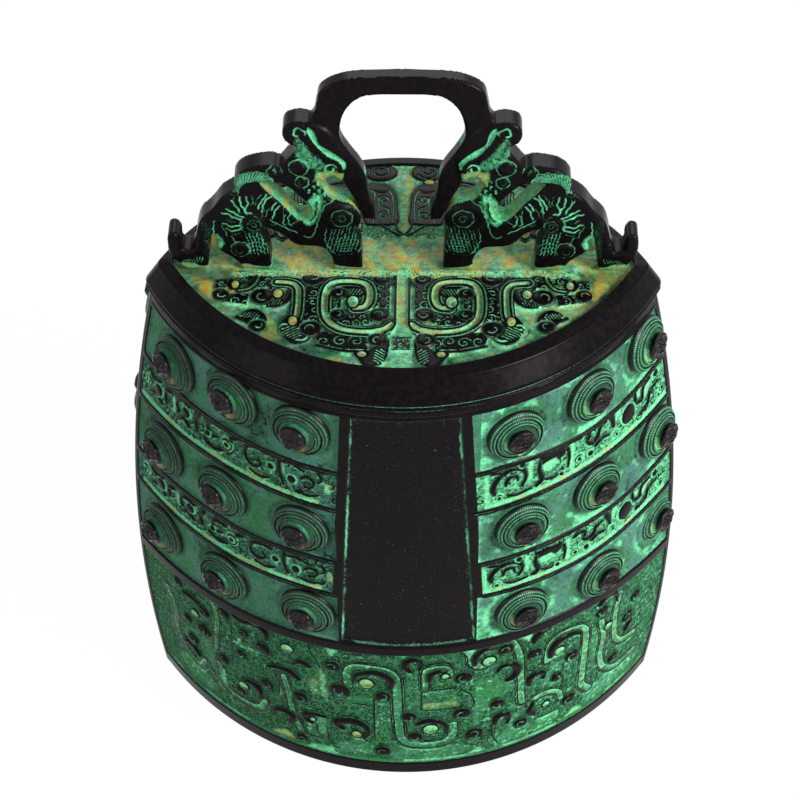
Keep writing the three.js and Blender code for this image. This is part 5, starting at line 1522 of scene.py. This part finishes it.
def paint_handle():
    """Relief and finish of the right half's front, out from the middle and up from the feet."""
    c = Canvas(-2, 90, -2, 90, 0.25)
    c.bare[:] = 1
    grid_x, grid_z = np.meshgrid(c.u, c.v)

    def cut(points, width=0.6, bright=0.75, bare=0.1, depth=0.35):
        path = smooth_path(points)
        path = path + 0.16 * np.stack([np.sin(path[:, 1] * 2.3), np.sin(path[:, 0] * 2.1)], -1)
        c.stroke(path, width * 0.72, 0.28, 0.8, height=-depth, bare=bare, bright=bright * 0.85)

    def ring(centre, radius, width, bright, bare):
        cut(circle(centre, radius), width, bright, bare)

    def eye(centre, radius, rise=0.7):
        c.dome(centre, radius, radius, rise, 0.5, bare=1)

    def hollow(points, bare, bright, ochre, height):
        c.area(smooth_path(points, closed=True), 0.6,
               height=height, bare=bare, bright=bright, ochre=ochre)

    # Cheek, throat and the strap behind the jaw
    hollow([(19, 38), (19.6, 43), (22, 46), (27, 46.6), (31, 45.6), (30, 41), (26.4, 36.4),
            (22, 36)], 0, 0.5, 0.55, -0.7)
    hollow([(13.4, 27.5), (16, 34), (18.6, 38), (23.6, 36.6), (19.6, 33.4), (16, 28)],
           0.1, 0.8, 0.25, -0.5)
    hollow([(29, 36), (33, 34.4), (36.8, 28), (36, 23), (33.6, 21.4), (31, 25), (29.4, 30)],
           0.15, 0.8, 0.05, -0.4)
    cut([(31, 33), (31, 29), (32.6, 25), (34, 23.4)], 0.9, 0, 1, -0.5)
    cut([(33.4, 31.6), (33.4, 28), (35, 26.6), (35.6, 29.4)], 0.8, 0, 1, -0.5)
    # Head: mottled hollow, bright band and dark S along it
    hollow([(37.6, 63), (34.4, 60), (31.4, 55), (27.6, 51), (28, 47.8), (33, 48), (38, 53),
            (39, 58)], 0.62, 0.6, 0, -0.3)
    c.stroke(smooth_path(HEAD_BAND), 2.6, 0.6, 2.4, height=-0.6, bare=0.1, bright=0.75)
    c.stroke(smooth_path(HEAD_S), 1.8, 0.5, 1.2, height=0.6, bare=1)
    cut(spiral_path((25.6, 47.8), 2.5, 1.1, 160, -1, 0.9), 0.9, 1, 0)
    eye((37, 48.7), 2.9, 0.8)
    ring((37, 48.7), 3.5, 0.7, 0.8, 0.15)
    eye((36, 42), 1.9)
    cut(spiral_path((36, 42), 1.2, 0.6, 60, -1, 0.4), 0.45, 0.8, 0.15)
    ring((36, 42), 2.5, 0.6, 0.9, 0.15)
    cut(spiral_path((36.4, 64.4), 2.4, 0.8, 200, -1, 1.6), 1.0, 1, 0)
    cut([(20.6, 34.6), (24.6, 38), (28.6, 43), (30.6, 46.6)], 0.6, 1, 0.1)
    # Wavy scales on the neck
    along = (grid_x - 29.4) * 0.72 + (grid_z - 38) * 0.7
    across = (grid_x - 29.4) * 0.7 - (grid_z - 38) * 0.72
    neck = soft((5.4 - np.abs(along)) / 1) * soft((5.2 - np.abs(across)) / 1)
    wave = np.sin(along * 2.4 + np.sin(across * 1.1)) * 1.3 + across * 2.5
    scales = neck * soft(np.sin(wave) * 1.9 - 0.5) * soft(0.7 + 0.6 * np.sin(along * 2.4 + 1.2))
    c.height -= 0.45 * scales
    c.cover(scales, bare=0.05, bright=0.85)
    # Crest: a hatched mane that ends in a curl
    mane = smooth_path([(60.6, 37.4), (59.6, 41), (56.4, 43.6), (51.6, 44.2), (47.4, 43)])
    c.stroke(mane, 4.4, 0.4, 1.5, height=0.3, bare=0.72, bright=0.4)
    c.comb(mane, 4.2, 1.05, 0.5, 0.35)
    cut([(61.8, 40), (58.8, 44.6), (53, 46.6), (47.6, 45.6)], 0.4, 0.6, 0.3)
    eye((45.6, 46.4), 2.2, 0.8)
    cut(spiral_path((45.6, 46.4), 1.4, 0.6, 40, 1, 0.4), 0.45, 0.7, 0.2)
    cut(spiral_path((45.6, 46.4), 2.8, 0.7, -60, 1, 2.8), 0.5, 0.7, 0.1)
    # Shoulder and foreleg
    cut(spiral_path((22, 25.6), 8.0, 0.42, 20, 1, 8.0), 0.55, 0.7, 0.2)
    cut([(29.6, 28), (30.8, 23), (32.4, 17.4), (34, 15.6), (36.4, 16.6)], 0.55, 0.7, 0.2)
    c.dome((22, 25.6), 3.2, 3.2, 0.5, 0.4, bare=1)
    ring((22, 25.6), 3.9, 0.6, 0.5, 0.35)
    cut(spiral_path((22, 25.6), 2.1, 1.2, 0, 1, 0.4), 0.45, 0.6, 0.3)
    for k in range(9):
        x = 14.4 + k * 1.35
        cut([(x + 0.2, 22 - 0.15 * k), (x + 1.4 + 0.2 * (k % 2), 15.4), (x + 3.2, 9.4 - 0.2 * k)],
            0.42, 0.9 - 0.06 * k, 0.2, 0.3)
    for k in range(7):
        cut([(15.6 + 0.4 * k, 15.8 - k * 1.4), (19, 16.2 - k * 1.4), (24.4, 15 - k * 1.3)],
            0.38, 0.7, 0.4, 0.2)
    # Sides of the foreleg, belly, stripes over the back, and finer lines between and beside them
    for width, bright, bare, depth, lines in HANDLE_CUTS:
        for points in lines:
            cut(points, width, bright, bare, depth)
    # Hip and hind leg
    c.dome((54, 22.4), 4.0, 4.0, 0.3, 0.5, bare=1)
    ring((54, 22.4), 2.5, 0.5, 0.5, 0.3)
    cut(spiral_path((54, 22.4), 1.5, 1.2, 0, 1, 0.4), 0.42, 0.7, 0.25)
    cut([(57.8, 26), (59, 23), (58.2, 19.4)], 0.6, 0.8, 0.05)
    for k in range(6):
        cut([(50.4 + k * 1.45, 19.4), (50 + k * 1.25, 13), (49.2 + k * 1.3, 7)],
            0.42, 0.95, 0.15, 0.3)
        cut([(49.6, 7.6 + k * 2.0), (53, 9.4 + k * 1.9), (57.4, 8.4 + k * 1.9)],
            0.36, 0.8, 0.3, 0.3)
    cut([(47.6, 7), (48.2, 13), (49.6, 19), (52.4, 25.6), (54.6, 27)], 0.4, 0.7, 0.3, 0.2)
    eye((59.6, 9.9), 3.0)
    ring((59.6, 9.9), 3.5, 0.5, 0.7, 0.2)
    cut(spiral_path((59.6, 9.9), 1.9, 0.7, 20, -1, 0.5), 0.5, 0.8, 0.15)
    cut([(61.4, 13), (61.8, 15), (63, 16.4)], 0.5, 0.8, 0.1)
    cut([(66.4, 21.6), (64.6, 18.6), (64, 15.6)], 0.5, 0.5, 0.2)
    # Tail
    hollow([(65.4, 13), (68.6, 18), (68.8, 13), (67.6, 9.4)], 0.2, 0.8, 0.1, -0.2)
    cut([(68.4, 24), (69, 19), (68.6, 13), (69, 8.6)], 0.6, 0.9, 0.1)
    for k in range(18):
        cut([(69.6, 5 + k), (73.6, 7.6 + k)], 0.35, 0.55, 0.35, 0.2)
    for k in range(7):
        cut([(73.4 + k * 1.1, 6.4 - 0.2 * k), (74.6 + k * 1.1, 3)], 0.4, 0.9, 0.1, 0.2)
    cut(spiral_path((78, 12), 2.0, 0.7, 0, 1, 1.6), 0.8, 0.9, 0)
    # A dusting of patina round the hollows
    uneven = 0.8 + 0.4 * np.sin(grid_x * 1.7 + 0.6 * grid_z) * np.sin(grid_z * 1.3)
    dust = blurred(1 - c.bare, 2.0 / c.step) * uneven
    c.bare = (c.bare - 0.88 * dust * c.bare).astype(np.float32)
    c.bright = np.maximum(c.bright, 0.35)
    # What is near the plate has taken its patina
    low = soft((3.2 + 3.0 * (clouds(c, 4, 41) - 0.5) - grid_z) / 1.8) * soft((84 - grid_x) / 3)
    c.cover(low, bare=0, bright=0.6, ochre=0.45, height=0)
    for x, z in ((22.4, 4.6), (56, 5.4)):
        c.dome((x, z), 1.7, 1.2, 0.3, 0.2, bare=1)
    c.cavity = c.height - blurred(c.height, 3.0)
    return c


def signed_distance(outline, c):
    """Distance in from a closed outline for each cell, up to NEAR, and below zero outside it."""
    where, distance = c.near(outline, NEAR, closed=True)[:2]
    full = np.full((len(c.v), len(c.u)), NEAR)
    full[where] = np.minimum(distance, NEAR)
    return np.where(enclosed(outline, c.u, c.v), full, -full)


def rounded(signed):
    """Height of a rounded edge of the handle over its foot, from the distance in."""
    short = np.clip(EDGE_RADIUS - signed, 0, EDGE_RADIUS)
    return np.sqrt(np.clip(EDGE_RADIUS ** 2 - short ** 2, 0, 1))


def smoothed(values, mask, sigma):
    """Values blurred within a mask."""
    return blurred(values * mask, sigma) / np.maximum(blurred(mask, sigma), 0.05)


def handle_form(c):
    """Distance in from the outline, half thickness, and which cells are by the crest's gap."""
    shape = (len(c.v), len(c.u))
    x, z = np.meshgrid(c.u, c.v)
    end = handle_mm(LOOP_RUNS[-1][-1:])
    half = joined_runs(LOOP_RUNS)
    bar = smooth_path(np.vstack([end, end * (-1, 1)]), 0.5)
    regions = [(np.vstack([half, bar[:-1], (half * (-1, 1))[::-1]]), LOOP_HALF)]
    for sign in (1, -1):
        regions.append((joined_runs(BEAST_RUNS) * (sign, 1), BEAST_HALF))
        for centre, radius, thickness in HANDLE_ROUNDS:
            if thickness == BEAST_HALF:
                outline = circle(handle_mm(centre) * (sign, 1), radius)[:-1]
                regions.append((outline, thickness))
    signed = np.full(shape, -9.0)
    depth = np.zeros(shape)
    for outline, thickness in regions:
        own = signed_distance(outline, c)
        depth = np.maximum(depth, np.where(own > -0.4, thickness - EDGE_RADIUS + rounded(own), 0))
        signed = np.maximum(signed, own)
    gap_rim = np.zeros(shape, bool)
    for sign in (1, -1):
        own = -signed_distance(smooth_path(handle_mm(CREST_GAP), 0.5, closed=True) * (sign, 1), c)
        gap_rim |= own < 1.0
        signed = np.minimum(signed, own)
    for centre, radius, thickness in HANDLE_ROUNDS:
        if thickness > BEAST_HALF:
            for sign in (1, -1):
                cx, cz = handle_mm(centre) * (sign, 1)
                rise = soft((radius - np.hypot(x - cx, z - cz)) / 0.8)
                depth += (thickness - BEAST_HALF) * rise * (signed > 0)
    return signed, depth, gap_rim


def handle_walls(cell, index, rim, count):
    """Quads between the two faces, on the edges that only one cell has, in three strips."""
    rim_nodes = index[rim]
    rim_index = -np.ones(count, int)
    rim_index[rim_nodes] = np.arange(len(rim_nodes)) + 2 * count
    padded = np.pad(cell, 1)
    walls = []
    for dj, di, first, second in ((-1, 0, (0, 1), (0, 0)), (1, 0, (1, 0), (1, 1)),
                                  (0, -1, (0, 0), (1, 0)), (0, 1, (1, 1), (0, 1))):
        beside = padded[1 + dj:1 + dj + cell.shape[0], 1 + di:1 + di + cell.shape[1]]
        j, i = np.nonzero(cell & ~beside)
        p = index[j + first[0], i + first[1]]
        q = index[j + second[0], i + second[1]]
        p_near, q_near = rim_index[p], rim_index[q]
        p_far, q_far = p_near + len(rim_nodes), q_near + len(rim_nodes)
        walls += [np.stack([p, q, q_near, p_near], -1),
                  np.stack([p_near, q_near, q_far, p_far], -1),
                  np.stack([p_far, q_far, q + count, p + count], -1)]
    return np.concatenate(walls)


def handle_map(points, count, front_faces, back_faces, walls):
    """Places on the flat map: the two faces above each other, and the walls in rows on top."""
    scale = 0.9 / 174
    flat = np.stack([(points[:, 0] + 87) * scale + 0.02,
                     (points[:, 2] - HANDLE_BASE) * scale + 0.005], -1)
    flat[count:, 1] += 0.46
    columns = 900
    rows = len(walls) // columns + 1
    n = np.arange(len(walls))
    left, low = (n % columns) / columns, 0.93 + (n // columns) * 0.06 / rows
    right, high = left + 1 / columns, low + 0.05 / rows
    wall_uv = np.stack([left, low, right, low, right, high, left, high], -1)
    return [flat[front_faces.ravel()], flat[back_faces.ravel()], wall_uv]


def stain_walls(values, points, normals, count, in_gap):
    """Patina on the walls of the gap under the crest, the window, the neck and the feet."""
    wall = np.arange(2 * count, len(points))
    x, z = np.abs(points[wall, 0]), points[wall, 2] - HANDLE_BASE
    out, up = normals[wall, 0], normals[wall, 2]
    stained = (x > 32) & (x < 53) & (z > 22) & (z < 43) & in_gap
    stained |= (x > 13.2) & (x < 30.5) & (z > 25) & (z < 45) & (up > -0.3)
    window = (x < 21.8) & (z > 57) & (z < 66.5) & (points[wall, 0] > 0) & (out < -0.3)
    feet = soft((3.8 - z) / 2.2) * (x < 84)
    bare = np.where(stained, np.where(up > 0.1, 0.0, 0.45), np.where(window, 0.25, 1.0))
    values["bare"][wall] = bare * (1 - feet)
    values["bright"][wall] = np.where(stained | window, 0.6, 0.6 * feet)
    values["ochre"][wall] = np.where(stained, 0.35 + 0.3 * np.sin(x * 0.8), 0.45 * feet)


def make_handle():
    canvas = paint_handle()
    step = 0.34
    c = Canvas(-88, 88, -1.2, 89.2, step)
    x, z = np.meshgrid(c.u, c.v)
    signed, depth, gap_rim = handle_form(c)
    solid = (signed > -0.4).astype(float)
    depth = smoothed(depth, solid, 0.9)
    smooth_depth = smoothed(depth, solid, 1.2)
    relief = sample(canvas, "height", np.abs(x), z)
    on_beast = soft((depth - LOOP_HALF - 0.4) / 0.6)
    depth = np.minimum(depth + relief * on_beast * soft(signed / 1.2), DEEPEST)
    depth = depth - (EDGE_RADIUS - rounded(signed)) * 0.6
    depth = np.maximum(depth, LOOP_HALF - EDGE_RADIUS)
    # Cells whose corners all lie in the outline, with their rim pulled on to it
    corner = signed > -0.5 * step
    cell = corner[:-1, :-1] & corner[1:, :-1] & corner[1:, 1:] & corner[:-1, 1:]
    touch = np.pad(cell, 1).astype(int)
    around = touch[:-1, :-1] + touch[1:, :-1] + touch[1:, 1:] + touch[:-1, 1:]
    used = around > 0
    rim = used & (around < 4)
    gz, gx = np.gradient(signed, step)
    pull = signed / np.maximum(np.hypot(gx, gz), 0.3) ** 2
    px, pz = x.copy(), z.copy()
    px[rim] -= (pull * gx)[rim].clip(-0.5, 0.5)
    pz[rim] -= (pull * gz)[rim].clip(-0.5, 0.5)
    px = np.clip(px, -HANDLE_HALF_LENGTH, HANDLE_HALF_LENGTH)
    pz = np.clip(pz, 0, HANDLE_HEIGHT) + HANDLE_BASE
    # Normals from the smooth shape, turning outwards over the rounded edges
    sz, sx = np.gradient(blurred(signed, 1.2), step)
    long = np.maximum(np.hypot(sx, sz), 1e-3)
    dz, dx = np.gradient(smooth_depth + relief * on_beast * 0.6, step)
    lean = np.clip((EDGE_RADIUS - np.maximum(signed, 0)) / EDGE_RADIUS, 0, 1)
    normal = np.stack([-dx * (1 - lean) - sx / long * lean, -np.sqrt(1 - lean ** 2) - 0.02,
                       -dz * (1 - lean) - sz / long * lean], -1)[used]
    front = np.stack([px, -depth, pz], -1)[used]
    wall = np.stack([px, -np.maximum(depth - EDGE_RADIUS, 0.5), pz], -1)[rim]
    out = np.stack([-sx / long, sx * 0, -sz / long], -1)[rim]
    turned = (1, -1, 1)
    points = np.concatenate([front, front * turned, wall, wall * turned])
    normals = np.concatenate([normal, normal * turned, out, out])
    normals /= np.linalg.norm(normals, axis=1, keepdims=True)
    # Faces
    count = int(used.sum())
    index = -np.ones(used.shape, int)
    index[used] = np.arange(count)
    j, i = np.nonzero(cell)
    front_faces = np.stack([index[j, i], index[j, i + 1],
                            index[j + 1, i + 1], index[j + 1, i]], -1)
    back_faces = front_faces[:, ::-1] + count
    walls = handle_walls(cell, index, rim, count)
    uvs = handle_map(points, count, front_faces, back_faces, walls)
    # Finish: bare on the loop and the walls, and painted on the beasts
    share = np.concatenate([on_beast[used]] * 2 + [np.zeros(2 * len(wall))])
    values = {}
    for name in FINISH + ("cavity",):
        painted = sample(canvas, name, np.abs(points[:, 0]), points[:, 2] - HANDLE_BASE)
        values[name] = mix(1 if name == "bare" else 0, painted, share)
    stain_walls(values, points, normals, count, np.concatenate([gap_rim[rim]] * 2))
    piece = build_mesh("handle_visual", points, [front_faces, back_faces, walls], uvs, values,
                       handle_bronze, normals)
    settle(piece, "handle_bronze", "handle")


make_handle()


# ---------------------------------------------------------------- stage and light


def white_where_seen(n, dim, white, output_kind, share=1.0):
    """Plain white to the camera and in reflections, and a dimmer shader to all other light."""
    path = n.add("ShaderNodeLightPath")
    seen = n.math("MAXIMUM", path.outputs["Is Camera Ray"], path.outputs["Is Glossy Ray"])
    seen = n.math("MAXIMUM", seen, path.outputs["Is Transmission Ray"])
    both = n.add("ShaderNodeMixShader")
    n.link(n.math("MULTIPLY", seen, share), both.inputs[0])
    n.link(dim.outputs[0], both.inputs[1])
    n.link(white.outputs[0], both.inputs[2])
    n.link(both.outputs[0], n.add(output_kind).inputs["Surface"])


def make_stage():
    size, level_below = 3.0, -0.0005
    mesh = bpy.data.meshes.new("floor")
    corners = [(x * size, y * size, level_below) for x, y in ((-1, -1), (1, -1), (1, 1), (-1, 1))]
    mesh.from_pydata(corners, [], [(0, 1, 2, 3)])
    floor = bpy.data.objects.new("floor", mesh)
    bpy.context.scene.collection.objects.link(floor)
    material = bpy.data.materials.new("pale_floor")
    n = Nodes(material)
    diffuse = n.add("ShaderNodeBsdfDiffuse")
    diffuse.inputs["Color"].default_value = (0.85, 0.85, 0.85, 1)
    glow = n.add("ShaderNodeEmission")
    glow.inputs["Color"].default_value = (1, 1, 1, 1)
    glow.inputs["Strength"].default_value = 1.0
    white_where_seen(n, diffuse, glow, "ShaderNodeOutputMaterial", 0.985)
    mesh.materials.append(material)


def make_world():
    world = bpy.data.worlds.new("studio")
    bpy.context.scene.world = world
    n = Nodes(world)
    dim = n.add("ShaderNodeBackground")
    dim.inputs["Color"].default_value = (1, 1, 1, 1)
    dim.inputs["Strength"].default_value = 0.3
    white = n.add("ShaderNodeBackground")
    white.inputs["Color"].default_value = (1, 1, 1, 1)
    white_where_seen(n, dim, white, "ShaderNodeOutputWorld")


def area_light(name, place, aim, size, power):
    data = bpy.data.lights.new(name, "AREA")
    data.shape = "RECTANGLE"
    data.size, data.size_y = size
    data.energy = power
    lamp = bpy.data.objects.new(name, data)
    bpy.context.scene.collection.objects.link(lamp)
    lamp.location = place
    lamp.rotation_euler = (Vector(aim) - Vector(place)).to_track_quat("-Z", "Y").to_euler()


make_stage()
make_world()
area_light("key", (1.1, -0.75, 1.0), (0, 0, 0.14), (0.5, 0.7), 33)
area_light("fill", (-1.1, -0.7, 0.8), (0, 0, 0.14), (0.7, 0.7), 4)
area_light("back", (0.1, 1.2, 1.2), (0, 0, 0.2), (1.2, 0.5), 10)

bpy.context.scene.view_settings.view_transform = "Standard"
